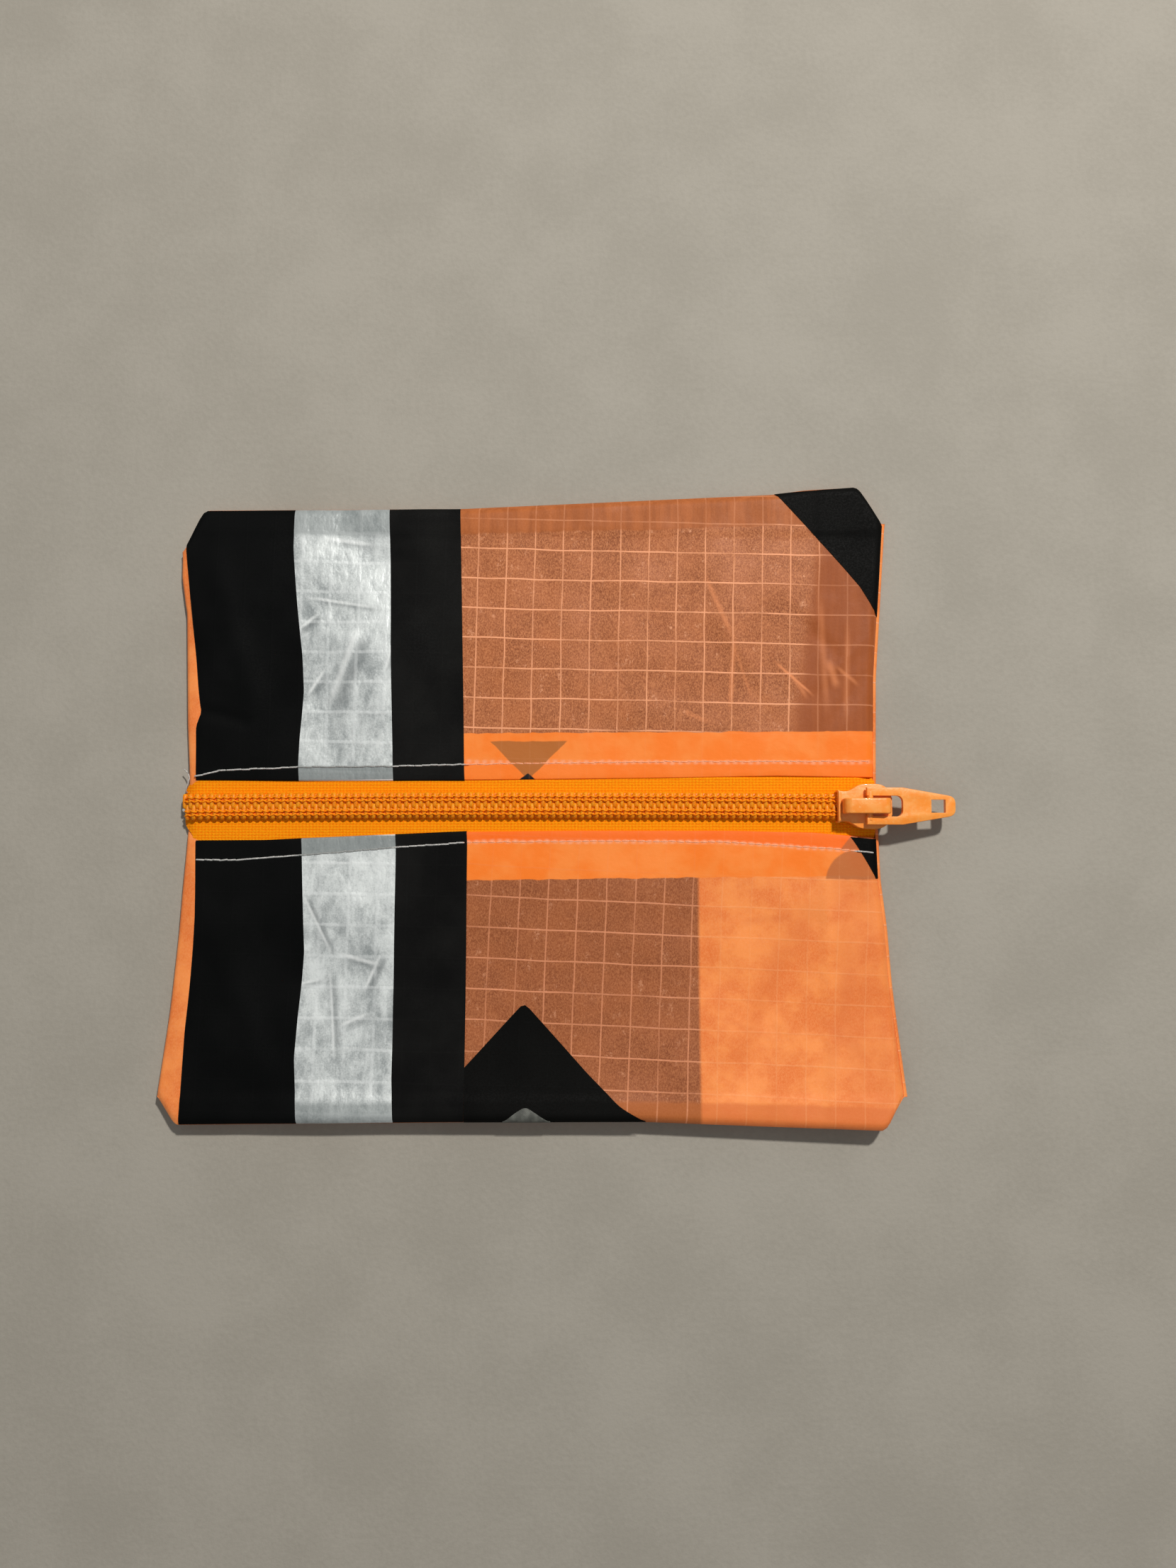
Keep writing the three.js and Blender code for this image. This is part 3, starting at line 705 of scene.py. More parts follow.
def across_front(side, u, along, left, right):
    """Where a column stands between two borders that are curves of y."""
    lip, edge = OUTLINES[side]
    y = side * 7 + np.clip(along, 0, 1) * side * 59
    for _ in range(3):
        x = left(y) + u * (right(y) - left(y))
        y = lip(x) + np.clip(along, 0, 1) * (edge(x) - lip(x))
    return x


def front_panel(name, side, material, node):
    """One half of the front with its hem."""
    def point(u, v):
        if side < 0:
            u = 1 - u
        along = rows_with_hem(v, HEM_WIDTH - 2)
        return front_surface(side, across_front(side, u, along, front_left, right_edge), along)
    piece = cloth_grid(name, 152, 78, point, CLOTH)
    dress(piece, material, node)
    return piece


upper_front = front_panel("upper_front", 1, orange_upper, "front_panel_upper")
lower_front = front_panel("lower_front", -1, orange_lower, "front_panel_lower")

# ---- black and silver cloth ----
# The black and silver blocks are closely woven cloths bonded edge to edge over the orange. The black is
# smooth and almost without shine. The silver has a metallic coating that has creased all over.
PEAK_LEFT = -19.25


def black_cloth(name, low, high):
    """Dull black cloth between two tones, blackest on the peak."""
    made, bench, shader = new_material(name, specular_ior_level=0.08)
    vector, x, _ = bench.millimetres()
    weave = use(bench, weave_group, vector=vector, pitch=WEAVE_PITCH)
    lines = use(bench, grid_group, vector=vector, turn=0.02, width=0.2)
    cloud = bench.noise(vector, 0.06, 4, 0.55)
    faint = bench.span(cloud, 0.3, 0.7) + lines["Lines"] * 0.12
    on_peak = bench.span(x, PEAK_LEFT - 0.1, PEAK_LEFT + 0.1)
    tone = bench.mix(on_peak * 0.75, bench.mix(faint, low, high), paint(3, 3, 2))
    relief = weave["Height"] * 0.3 + lines["Height"] * 0.15
    finish_surface(bench, shader, tone, bench.span(weave["Shade"], 0.3, 0.7, 0.55, 0.75), relief, 0.00005)
    return made


def silver_cloth():
    """Metal-coated cloth, darker at the sewn ends and between the stitch rows, with a painted lip highlight
    and named creases in painted light.
    """
    made, bench, shader = new_material("silver_coating", metallic=0.2)
    vector, x, y = bench.millimetres()
    fine = use(bench, crinkle_group, vector=vector, scale=0.45, stretch=(1.0, 0.5, 1.0))
    broad = use(bench, crinkle_group, vector=vector, scale=0.09, stretch=(1.3, 0.8, 1.0))
    lines = use(bench, grid_group, vector=vector, turn=0.02, width=0.35)
    weave = use(bench, weave_group, vector=vector, pitch=WEAVE_PITCH)
    ends = bench.larger(
        beyond_line(x, y, (-80, 61.8), (80, 61.2), 0.9),
        1.0 - beyond_line(x, y, (-80, -64.5), (80, -64.5), 0.9),
    )
    near_lip = all_of(
        1.0 - beyond_line(x, y, (-80, 9.0), (80, 9.4), 0.3),
        beyond_line(x, y, (-57, -10.9), (-34, -9.0), 0.3),
    )
    # A painted highlight along the silver's lip.
    lip_highlight = bench.span(x * -0.018 + abs(y + 0.1), 7.05, 6.8)
    shade = fine["Shade"] * 0.4 + broad["Shade"] * 0.6 + (weave["Shade"] - 0.5) * 0.3
    tone = bench.mix(bench.span(shade, 0.3, 0.68), paint(146, 153, 154), paint(232, 238, 237))
    # Named creases, each drawn as a band of painted shade with a band of painted highlight beside it.
    for start, end, width, share in (
        ((-41.0, 41.0), (-49.0, 20.0), 2.6, 0.5), ((-56.0, 47.0), (-36.5, 44.0), 1.2, 0.4),
        ((-57.0, 39.0), (-52.0, 43.0), 1.2, 0.6), ((-54.5, 24.0), (-50.0, 31.0), 1.2, 0.4),
        ((-53.0, 60.5), (-38.0, 58.5), 1.6, 0.35), ((-37.0, 30.0), (-35.5, 36.0), 0.9, 0.5),
        ((-55.0, -19.0), (-47.5, -34.0), 1.1, 0.5), ((-36.5, -32.0), (-41.0, -42.0), 1.2, 0.55),
        ((-47.0, -33.0), (-36.0, -36.0), 1.6, 0.4), ((-48.5, -35.0), (-47.0, -58.0), 1.0, 0.4),
        ((-56.5, -40.0), (-50.0, -38.5), 1.0, 0.4), ((-46.0, -49.0), (-39.0, -46.0), 1.4, 0.35),
    ):
        painted_crease_shade = fold_mark(x, y, start, end, width)
        tone = bench.mix(painted_crease_shade * share, tone, paint(104, 110, 112))
        painted_crease_highlight = fold_mark(x + 0.8 * width, y - 0.5 * width, start, end, 0.5 * width)
        tone = bench.mix(painted_crease_highlight * 0.6, tone, paint(246, 250, 249))
    tone = bench.mix(lines["Lines"] * 0.4, tone, paint(236, 241, 241))
    # Darker bands at the sewn ends and between the stitches and the lip.
    darker_bands = bench.larger(ends * 0.6, near_lip * 0.8)
    tone = bench.mix(darker_bands, tone, paint(122, 130, 130))
    tone = bench.mix(lip_highlight * 0.85, tone, paint(235, 238, 236))
    relief = fine["Height"] * 0.3 + broad["Height"] * 1.7 + lines["Height"] * 0.06
    finish_surface(bench, shader, tone, bench.span(shade, 0.4, 0.6, 0.55, 0.42), relief, 0.0003)
    return made


black_left = black_cloth("black_cloth_left", paint(2, 3, 3), paint(7, 8, 8))
black_middle = black_cloth("black_cloth_middle", paint(7, 7, 7), paint(20, 20, 19))
silver = silver_cloth()
PATCH = 0.1
PATCH_LIFT = 0.13

silver_left = curve_through(
    [(-70, -55.6), (-55, -56.6), (-46, -56.1), (-32, -55), (-9, -55.9), (9, -57), (15, -56.8), (26, -56),
     (34, -56.5), (46, -57.8), (59, -58.8), (70, -58.6)]
)
silver_right = curve_through([(-70, -34.6), (-60, -35.2), (-9, -35), (9, -35.9), (40, -36.6), (70, -37.3)])
strip_right = curve_through([(-70, -19.3), (-34, -19.2), (-8, -19.1), (8, -19.9), (40, -20.5), (70, -21.2)])


def strip(name, side, left, right, material, slot, columns, node):
    """A block of bonded cloth from the lip, round which it turns, to the sewn edge."""
    def point(u, v):
        if side < 0:
            u = 1 - u
        along = rows_with_hem(v, 0.8, total=74)
        x = across_front(side, u, along, left, right)
        return front_surface(side, x, np.minimum(along, 0.996), PATCH_LIFT)
    piece = cloth_grid(name, columns, 74, point, PATCH)
    dress(piece, material, node)
    return piece


def inset_left(y):
    """Where the black blocks start, just inside the front's left edge."""
    return front_left(y) + 0.1


strips = {}
for side, half in ((1, "upper"), (-1, "lower")):
    for name, *cut in (
        ("black_block", inset_left, silver_left, black_left, "black_ripstop", 26),
        ("silver_strip", silver_left, silver_right, silver, "silver_cloth", 26),
        ("black_strip", silver_right, strip_right, black_middle, "black_ripstop", 18),
    ):
        strips[half, name] = strip(f"{half}_{name}", side, *cut, f"{name}_{half}")


def joined(pieces, name):
    """Several meshes made into one piece."""
    clear_selection()
    for piece in pieces:
        piece.select_set(True)
    bpy.context.view_layer.objects.active = pieces[0]
    bpy.ops.object.join()
    pieces[0].name = name
    clear_selection()
    return pieces[0]


def patch_between(name, columns, rows, low, high, span, lift=PATCH_LIFT):
    """A patch lying on the front, between two border curves of x, from span's start to its end."""
    def point(u, v):
        x = span[0] + u * (span[1] - span[0])
        y = low(x) + v * (high(x) - low(x))
        return x, y, front_height(x, y) + lift
    return cloth_grid(name, columns, rows, point, PATCH)


# ---- black peak, grey peak and the two black corner patches ----
# The lower middle strip runs out to the right in a black peak over the bottom edge, with a small grey
# peak at its foot. Black cuts across the top right corner, and a sliver of black shows beside the slider.
peak_slopes = curve_through(
    [(-30, -68.2), (-19.3, -57.2), (-6.3, -43.2), (7.7, -58.4), (14.7, -65.3), (21, -69)]
)
peak = patch_between(
    "peak", 42, 26,
    lambda x: bottom_edge(x) + 0.12,
    lambda x: np.maximum(peak_slopes(x), bottom_edge(x) + 0.3),
    (PEAK_LEFT, 20.3),
)
peak.data.materials.append(black_middle)
lower_strip = joined([strips["lower", "black_strip"], peak], "lower_black_strip")

grey_cloth, bench, shader = new_material("grey_cloth")
vector = bench.millimetres()[0]
weave = use(bench, weave_group, vector=vector, pitch=WEAVE_PITCH)
tone = bench.mix(bench.span(bench.noise(vector, 0.5, 3), 0.35, 0.65), paint(72, 74, 69), paint(104, 106, 100))
finish_surface(bench, shader, tone, bench.span(weave["Shade"], 0.3, 0.7, 0.5, 0.7), weave["Height"], 0.00004)
grey_slopes = curve_through([(-10.8, -68.8), (-8.4, -66.8), (-5.8, -65.2), (-3, -67.0), (-0.4, -68.8)])


def grey_point(u, v):
    """A low triangle standing on the bottom edge, on top of the black."""
    x = -10.8 + u * 10.4
    top = np.maximum(grey_slopes(x), bottom_edge(x) + 0.3)
    y = np.maximum(bottom_edge(x) + 0.06 + v * (top - bottom_edge(x) - 0.06), bottom_edge(x) + 0.05)
    return x, y, front_height(x, y) + 2 * PATCH_LIFT


grey_peak = cloth_grid("grey_peak", 22, 10, grey_point, PATCH)
dress(grey_peak, grey_cloth, "grey_peak_lower")


def upper_corner_point(u, v):
    """u runs along the slanting border, and v out from it to the sewn edge."""
    inner_x = np.interp(u, [0, 0.35, 0.62, 0.8, 1], [50.2, 58.8, 65.6, 69.2, 73.1])
    inner_y = np.interp(u, [0, 0.35, 0.62, 0.8, 1], [71.3, 61.9, 54.0, 49.6, 43.0])
    outer_x = np.interp(u, [0, 0.5, 0.62, 0.75, 1], [50.2, 69.0, 71.2, 74.6, 73.2])
    outer_y = np.interp(u, [0, 0.5, 0.62, 0.75, 1], [71.3, 72.9, 70.2, 63.9, 43.0])
    x = inner_x + (0.004 + 0.99 * v) * (outer_x - inner_x)
    y = inner_y + (0.004 + 0.99 * v) * (outer_y - inner_y)
    y = np.minimum(y, top_edge(x) - 0.05)
    x = np.minimum(x, right_edge(y) - 0.05)
    return x, y, front_height(x, y) + PATCH_LIFT


upper_corner = cloth_grid("upper_black_corner", 44, 24, upper_corner_point, PATCH)
dress(upper_corner, black_middle, "black_corner_upper")


def lower_corner_point(u, v):
    """A black sliver from the lip beside the slider down the sewn edge, coming to a point."""
    down = v * 8.7
    x_left = 66.3 + 5.6 * v**0.9
    x = x_left + (1 - u) * (right_edge(-6.9 - down) - 0.05 - x_left)
    y = lower_lip(x) - 0.3 - down
    return x, y, front_height(x, y) + PATCH_LIFT


lower_corner = cloth_grid("lower_black_corner", 12, 16, lower_corner_point, PATCH)
dress(lower_corner, black_left, "black_corner_lower")

# ---- back ----
# The back is one piece of orange ripstop. It lies flat, turns up in a soft roll at the seams, and on the
# left rolls over onto the front, where its folded edge shows as an orange sliver beside the black.
LEFT_ROLL = 1.15
RIGHT_ROLL = 1.0


def back_point(u, v):
    """u crosses from the sliver's inner edge, over the left roll, along the underside and up the right."""
    column = np.rint(u * 128)
    over = np.clip(column / 8, 0, 1)
    turn = np.clip((column - 8) / 10, 0, 1) * math.pi
    flat = np.clip((column - 18) / 100, 0, 1)
    right_turn = np.clip((column - 118) / 10, 0, 1) * math.pi * 0.95
    y = -70.4 + v * 143.4
    for _ in range(3):
        join = front_left(y) + 0.9
        crown = back_left(y) + LEFT_ROLL
        right_crown = right_edge(y) - 0.3
        x_over = join + over * (crown - join)
        x_turn = crown - LEFT_ROLL * np.sin(turn)
        x_flat = crown + flat * (right_crown - crown) + RIGHT_ROLL * np.sin(right_turn)
        x = np.where(column <= 8, x_over, np.where(column <= 18, x_turn, x_flat))
        low = bottom_edge(np.clip(x, -87, 76.8))
        high = top_edge(np.clip(x, -84.4, 74.6))
        y = low + v * (high - low)
    tuck = front_height(front_left(y) + 0.3, y) - curl(front_left(y), y) - CLOTH - 0.16
    z_over = tuck + over * (2 * LEFT_ROLL - tuck) + 0.12 * np.sin(math.pi * over)
    z_turn = LEFT_ROLL + LEFT_ROLL * np.cos(turn)
    under = np.clip(0.12 + 0.05 * rumple(x, y, 30, 21), 0.0, 0.4)
    under = under * np.clip((x - crown) / 4, 0, 1) * np.clip((right_crown - x) / 4, 0, 1)
    z_flat = under + RIGHT_ROLL * (1 - np.cos(right_turn))
    pressed = 1 - 0.6 * np.exp(-(((y + 0.8) / 5.0) ** 4))
    z = np.where(column <= 8, z_over * pressed, np.where(column <= 18, z_turn * pressed, z_flat))
    return x, y, curl(x, y) + SEAM_HEIGHT + (z - SEAM_HEIGHT) * rolled(np.minimum(high - y, y - low), 2.6)


back = cloth_grid("back", 128, 110, back_point, -CLOTH)
dress(back, orange_back, "back_panel")


def lining(name, left, right, low, high, columns, rows):
    """Dark cloth against the inside of the back."""
    def point(u, v):
        x = left + u * (right - left)
        y = low + v * (high - low)
        return x, y, 0.62 + curl(x, y) + 0.05 * rumple(x, y, 30, 21)
    return cloth_grid(name, columns, rows, point, PATCH)


back_block = joined(
    [lining("block", -78, 65.5, 0, 62, 60, 30), lining("block_lower", -78, 33, -61, 0, 50, 30)], "back_block"
)
dress(back_block, black_middle, "back_black_block")

# ---- zip tapes ----
# The zip is a size 5 coil zip. Its tapes are knitted polyester with fine ribs along the length, sewn
# under the hems and caught in the side seam at the left, where they bend down together.
TAPE_EDGE = 1.4
TAPE_OUTER = 13.4
tape_top = height_of("zip_tape_upper")


def zip_drop(x):
    """How far the zip bends down towards the left seam."""
    return -1.35 * np.clip((-79.4 - x) / 3.0, 0, 1) ** 1.7


def seam_drop(x, reach):
    """How far the tapes bend down into the right seam, clear of the slider."""
    return -1.25 * np.clip((x - 67.8) / 3.4, 0, 1) ** 1.4 * np.clip((reach - 5.2) / 1.6, 0, 1)


def zip_bow(x):
    """The zip line's slight wander."""
    return 0.35 * np.sin(math.pi * (x + 80) / 152)


tape_knit, bench, shader = new_material("tape_knit", specular_ior_level=0.08)
vector, x, y = bench.millimetres()
ribs = bench.wave(y, 0.62)
loops = bench.wave(x + abs(ribs) * 0.35, 0.75)
fuzz = bench.noise(vector, 2.4, 3, 0.7)
knit = ribs * 0.16 + loops * 0.16 + fuzz * 1.1
tone = bench.mix(bench.span(knit, 0.2, 0.9), paint(250, 124, 0), paint(255, 164, 14))
finish_surface(bench, shader, tone, bench.span(fuzz, 0.3, 0.7, 0.75, 0.9), knit, 0.0001)

for side, half in ((1, "upper"), (-1, "lower")):
    def tape_point(u, v):
        if side < 0:
            u = 1 - u
        reach = TAPE_EDGE + v * (TAPE_OUTER - TAPE_EDGE)
        left = -82.5 + 2.1 * np.clip((reach - 3.6) / 2.6, 0, 1) ** 1.5
        x = left + u * (71.9 - left)
        y = zip_bow(x) + side * reach + 0.08 * rumple(x, 0 * x, 19, 31 + side) * v
        wave = 0.05 * rumple(x, y, 24, 40 + side) * np.clip((reach - 3.3) / 3, 0, 1)
        drop = zip_drop(x) + seam_drop(x, reach) - 0.1 * np.clip((reach - 6) / 4, 0, 1)
        return x, y, tape_top + drop + wave
    tape = cloth_grid(f"{half}_tape", 150, 14, tape_point, 0.5)
    dress(tape, tape_knit, f"zip_tape_{half}")

# ---- zip coils and the thread that sews them down ----
# Each coil is a flattened spiral of thick nylon line. The heads of one side sit between those of the
# other, and two rows of thread run over the turns and hold them on the tapes.
COIL_PITCH = 1.6
COIL_TURNS = 95
COIL_WIRE = 0.54
COIL_MIDDLE = 1.2
COIL_HALF_WIDTH = 1.32
COIL_HALF_HEIGHT = 0.27
coil_centre = (height_of("zip_coil_upper", top=False) + height_of("zip_coil_upper")) / 2
COIL_START = -82.3
THREAD_TOP = 4.24


def tube(name, points, radius, sides, closed_ends=True):
    """A round line of constant thickness along millimetre points, as a mesh."""
    curve = bpy.data.curves.new(name, "CURVE")
    curve.dimensions = "3D"
    curve.bevel_depth = radius * MM
    curve.bevel_resolution = max(0, sides // 2 - 2)
    curve.use_fill_caps = closed_ends
    spline = curve.splines.new("POLY")
    spline.points.add(len(points) - 1)
    at = place(*np.array(points, float).T)
    spline.points.foreach_set("co", np.column_stack([at, np.ones(len(at))]).astype(np.float32).ravel())
    piece = bpy.data.objects.new(name, curve)
    bpy.context.scene.collection.objects.link(piece)
    clear_selection()
    piece.select_set(True)
    bpy.context.view_layer.objects.active = piece
    bpy.ops.object.convert(target="MESH")
    piece = bpy.context.object
    bpy.ops.object.shade_smooth_by_angle(angle=math.radians(60))
    piece.select_set(False)
    return piece


def plastic(name, low, high, rough, scale, **constants):
    """Cloudy plastic between two tones, at least this rough, for the coils and their threads."""
    made, bench, shader = new_material(name, **constants)
    vector = bench.millimetres()[0]
    cloud = bench.noise(vector, scale, 3, 0.6)
    tone = bench.mix(bench.span(cloud, 0.35, 0.65), low, high)
    shine = bench.span(cloud, 0.35, 0.65, rough, rough + 0.15)
    finish_surface(bench, shader, tone, shine, bench.noise(vector, 3.0, 2, 0.6), 0.00003)
    return made


coil_nylon = plastic(
    "coil_nylon", paint(255, 136, 0), paint(255, 154, 8), 0.42, 0.8, specular_ior_level=0.4,
    subsurface_weight=0.5, subsurface_radius=(1.0, 0.5, 0.15), subsurface_scale=0.002,
)
coil_thread = plastic(
    "coil_thread", paint(255, 134, 0), paint(255, 156, 16), 0.6, 2.0, specular_ior_level=0.15
)
filler_thread = plastic("filler_thread", paint(255, 128, 0), paint(255, 146, 8), 0.7, 2.0)

for side, half in ((1, "upper"), (-1, "lower")):
    steps = np.arange(COIL_TURNS * 14 + 1) / 14
    part = steps % 1
    turn = 2 * math.pi * part
    advance = np.where(part < 0.5, 0.06 * part, 0.03 + 0.97 * (part - 0.5) / 0.5)
    x = COIL_START + (np.floor(steps) + advance + (0.5 if side < 0 else 0)) * COIL_PITCH
    across = np.sign(np.cos(turn)) * np.abs(np.cos(turn)) ** 0.8
    lift = np.sign(np.sin(turn)) * np.abs(np.sin(turn)) ** 0.7
    y = zip_bow(x) + side * (COIL_MIDDLE + COIL_HALF_WIDTH * across)
    z = coil_centre + zip_drop(x) + COIL_HALF_HEIGHT * lift
    coil = tube(f"{half}_coil", np.column_stack([x, y, z]), COIL_WIRE, 8)

    def bed_point(u, v):
        """The closely wound underside, which closes the view between the turns."""
        x = COIL_START + u * COIL_PITCH * COIL_TURNS
        reach = 0.02 + (v if side > 0 else 1 - v) * 2.7
        return x, zip_bow(x) + side * reach, coil_centre - 0.02 + zip_drop(x) - 0.3 * np.abs(reach - 1.3)
    coil = joined([coil, cloth_grid("bed", 150, 5, bed_point, 0.12)], f"{half}_coil")
    dress(coil, coil_nylon, f"zip_coil_{half}")
    at = np.arange(COIL_START + 0.3, COIL_START + COIL_PITCH * (COIL_TURNS + 0.3), COIL_PITCH / 8)
    phase = 2 * math.pi * (at - COIL_START - (COIL_PITCH / 2 if side < 0 else 0)) / COIL_PITCH
    strands = []
    for number, reach in enumerate((1.12, 1.95)):
        sway = 0.14 * np.sin(phase + math.pi * number)
        dip = 0.16 * (1 - np.cos(phase)) / 2 + 0.1 * number
        strand = [at, zip_bow(at) + side * (reach + sway), THREAD_TOP + zip_drop(at) - dip]
        strands.append(tube("strand", np.column_stack(strand), 0.2, 6))
    thread = joined(strands, f"{half}_coil_stitches")
    dress(thread, coil_thread, f"coil_stitch_{half}")
    cord = bpy.data.objects[f"coil_cord_{half}"]
    for slot in cord.material_slots:
        slot.material = filler_thread

# ---- topstitching and the seam's thread ----
# White thread holds each hem down on its tape, one stitch every 1.75 mm. A loose end curls out at the left
# of the upper row. The seam inside the edges is sewn with the same thread.
STITCH_RADIUS = 0.17
upper_stitches = curve_through(
    [(-80, 6.9), (-74.3, 8.1), (-57, 8.9), (-36, 9.1), (-20, 9.5), (21.7, 10.1), (67.9, 10.2), (72, 10.2)]
)
lower_stitches = curve_through(
    [(-79, -11.8), (-71.5, -11.9), (-56.7, -10.8), (-34.7, -9.0), (-19, -7.9), (11, -7.6), (37.7, -7.8),
     (60.9, -9.2), (72, -10.2)]
)
sewing_thread, bench, shader = new_material("sewing_thread")
vector, x, y = bench.millimetres()
twist = bench.wave(x + y, 0.28)
fuzz = bench.noise(vector, 3.0, 2, 0.7)
on_orange = bench.span(x, -20.2, -19.2) * bench.larger(bench.span(y, -1.0, 1.0), bench.span(x, 67.6, 66.8))
white = bench.mix(bench.span(fuzz, 0.3, 0.7), paint(168, 168, 165), paint(215, 215, 211))
pink = bench.mix(bench.span(fuzz, 0.3, 0.7), paint(255, 158, 108), paint(255, 186, 148))
# Painted shade: the thread is drawn grey where it crosses the silver.
shaded_on_silver = bench.span(x, -57.6, -56.8) * bench.span(x, -35.4, -36.2)
white = bench.mix(shaded_on_silver * 0.6, white, paint(120, 126, 126))
tone = bench.mix(on_orange, white, pink)
finish_surface(bench, shader, tone, bench.span(fuzz, 0.3, 0.7, 0.7, 0.85), twist, 0.00002)


def stitch_row(name, line, start, end, lift):
    """Short, slightly sunken stitches along a line on the front, each a little different."""
    chance = np.random.default_rng(len(name))
    stitches = []
    model = tube("stitch", [(-0.86, 0, -0.14), (-0.7, 0, 0.0), (0, 0, 0.04), (0.7, 0, 0.0), (0.86, 0, -0.14)],
                 STITCH_RADIUS, 6)
    base = np.array([corner.co[:] for corner in model.data.vertices]) / MM - (FRAME_X / MM, FRAME_Y / MM, 0)
    for x in np.arange(start, end, STITCH_PITCH):
        stitch = model.copy()
        stitch.data = model.data.copy()
        bpy.context.scene.collection.objects.link(stitch)
        y = float(line(np.array([x]))[0])
        slope = float((line(np.array([x + 0.5])) - line(np.array([x - 0.5])))[0]) + chance.normal(0, 0.05)
        z = float(front_height(np.array([x]), np.array([y]))[0]) + lift(x)
        turned = base @ np.array([[1, slope, 0], [-slope, 1, 0], [0, 0, 1]])
        at = turned + (x + chance.normal(0, 0.05), y + chance.normal(0, 0.04), z)
        stitch.data.vertices.foreach_set("co", place(*at.T).astype(np.float32).ravel())
        stitches.append(stitch)
    bpy.data.objects.remove(model)
    return joined(stitches, name)


def patch_lift(x):
    """How high a stitch lies on the front: on the bonded blocks, or sunk into the orange hem."""
    return PATCH_LIFT + 0.05 if x < strip_right(0) else -0.06


def sliver_lift(x):
    """The same for the lower row, which also crosses the black sliver at its right end."""
    return PATCH_LIFT + 0.1 if x > 67.5 else patch_lift(x)


tail = tube(
    "thread_tail",
    [(-82.0, 3.2, 1.0), (-82.3, 3.5, 1.9), (-82.1, 4.3, 2.3), (-81.7, 5.2, 2.55), (-81.3, 6.4, 2.6),
     (-81.5, 7.2, 2.55), (-82.0, 7.9, 2.4), (-82.7, 8.5, 2.2)],
    0.13, 6,
)
bpy.ops.mesh.primitive_ico_sphere_add(subdivisions=3, radius=0.0005, location=(0, 0, 0))
fused = bpy.context.object
fused.name = "fused_end"
lump = np.array([corner.co[:] for corner in fused.data.vertices]) / MM
lump = lump * (0.8, 1.1, 0.7) * (1 + 0.12 * np.sin(9 * lump[:, :1] + 5 * lump[:, 1:2]))
fused.data.vertices.foreach_set("co", place(*(lump + (-82.5, -0.6, 2.1)).T).astype(np.float32).ravel())
bpy.ops.object.shade_smooth()
upper_row = joined(
    [stitch_row("upper_row", upper_stitches, -79.2, 70.4, patch_lift), tail, fused], "upper_topstitching"
)
dress(upper_row, sewing_thread, "topstitch_upper")
lower_row = stitch_row("lower_topstitching", lower_stitches, -78.4, 70.9, sliver_lift)
dress(lower_row, sewing_thread, "topstitch_lower")

corners = np.array([
    (-82.0, 58.5), (-78.6, 66.4), (-21, 66.5), (50, 69.8), (68.2, 71.2), (69.8, 68.6), (73.0, 63.4),
    (71.6, 43), (70.6, 29), (70.4, 17), (70.2, 8), (70.6, -9), (71.0, -16), (72.3, -27), (73.1, -40),
    (74.4, -53), (75.0, -62.5), (71.4, -68.8), (43.7, -67.9), (20, -67.2), (-21, -67.3), (-79.5, -68.0),
    (-79.6, -50), (-78.6, -37), (-77.8, -24), (-77.8, -9), (-78.4, 9), (-78.6, 18), (-78.2, 26),
    (-79.1, 36), (-80.6, 50), (-82.0, 58.5),
])
corner_at = np.concatenate([[0], np.cumsum(np.hypot(*np.diff(corners, axis=0).T))])
walked = np.arange(0, corner_at[-1], 0.55)
seam_x = np.interp(walked, corner_at, corners[:, 0])
seam_y = np.interp(walked, corner_at, corners[:, 1])
seam_z = 1.25 + curl(seam_x, seam_y) + 0.16 * np.sin(2 * math.pi * walked / 3.4)
seam = tube("seam_stitching", np.column_stack([seam_x, seam_y, seam_z]), 0.13, 6)
dress(seam, sewing_thread, "seam_thread")


# ---- slider, cap, lock spring and pull ----
# The slider is die-cast zinc with a baked orange paint, whose edges are rounded by the mould and rubbed
# paler by use. Its plates widen in an S to the front. A spring lock sits under the long crown, and the
# pull is forked round the crown.
def prism(name, outline, low, high, flat=True):
    """A solid from an outline, seen from above, or from the side if flat is False."""
    clear_selection()
    bpy.ops.mesh.primitive_circle_add(vertices=len(outline), fill_type="NGON", location=(0, 0, 0))
    piece = bpy.context.object
    piece.name = name
    first, second = np.array(outline, float).T
    at = place(first, second, low + 0 * first) if flat else place(first, low + 0 * first, second)
    piece.data.vertices.foreach_set("co", at.astype(np.float32).ravel())
    bpy.ops.object.mode_set(mode="EDIT")
    bpy.ops.mesh.select_all(action="SELECT")
    rise = (high - low) * MM
    bpy.ops.mesh.extrude_region_move(
        TRANSFORM_OT_translate={"value": (0, 0, rise) if flat else (0, rise, 0)}
    )
    bpy.ops.mesh.select_all(action="SELECT")
    bpy.ops.mesh.normals_make_consistent(inside=False)
    bpy.ops.object.mode_set(mode="OBJECT")
    return piece


def combined(piece, tool, operation):
    """Adds a second solid to the first, or cuts it away."""
    step = piece.modifiers.new("step", "BOOLEAN")
    step.operation = operation
    step.solver = "EXACT"
    step.object = tool
    clear_selection()
    piece.select_set(True)
    bpy.context.view_layer.objects.active = piece
    bpy.ops.object.modifier_apply(modifier=step.name)
    bpy.data.objects.remove(tool)
    return piece


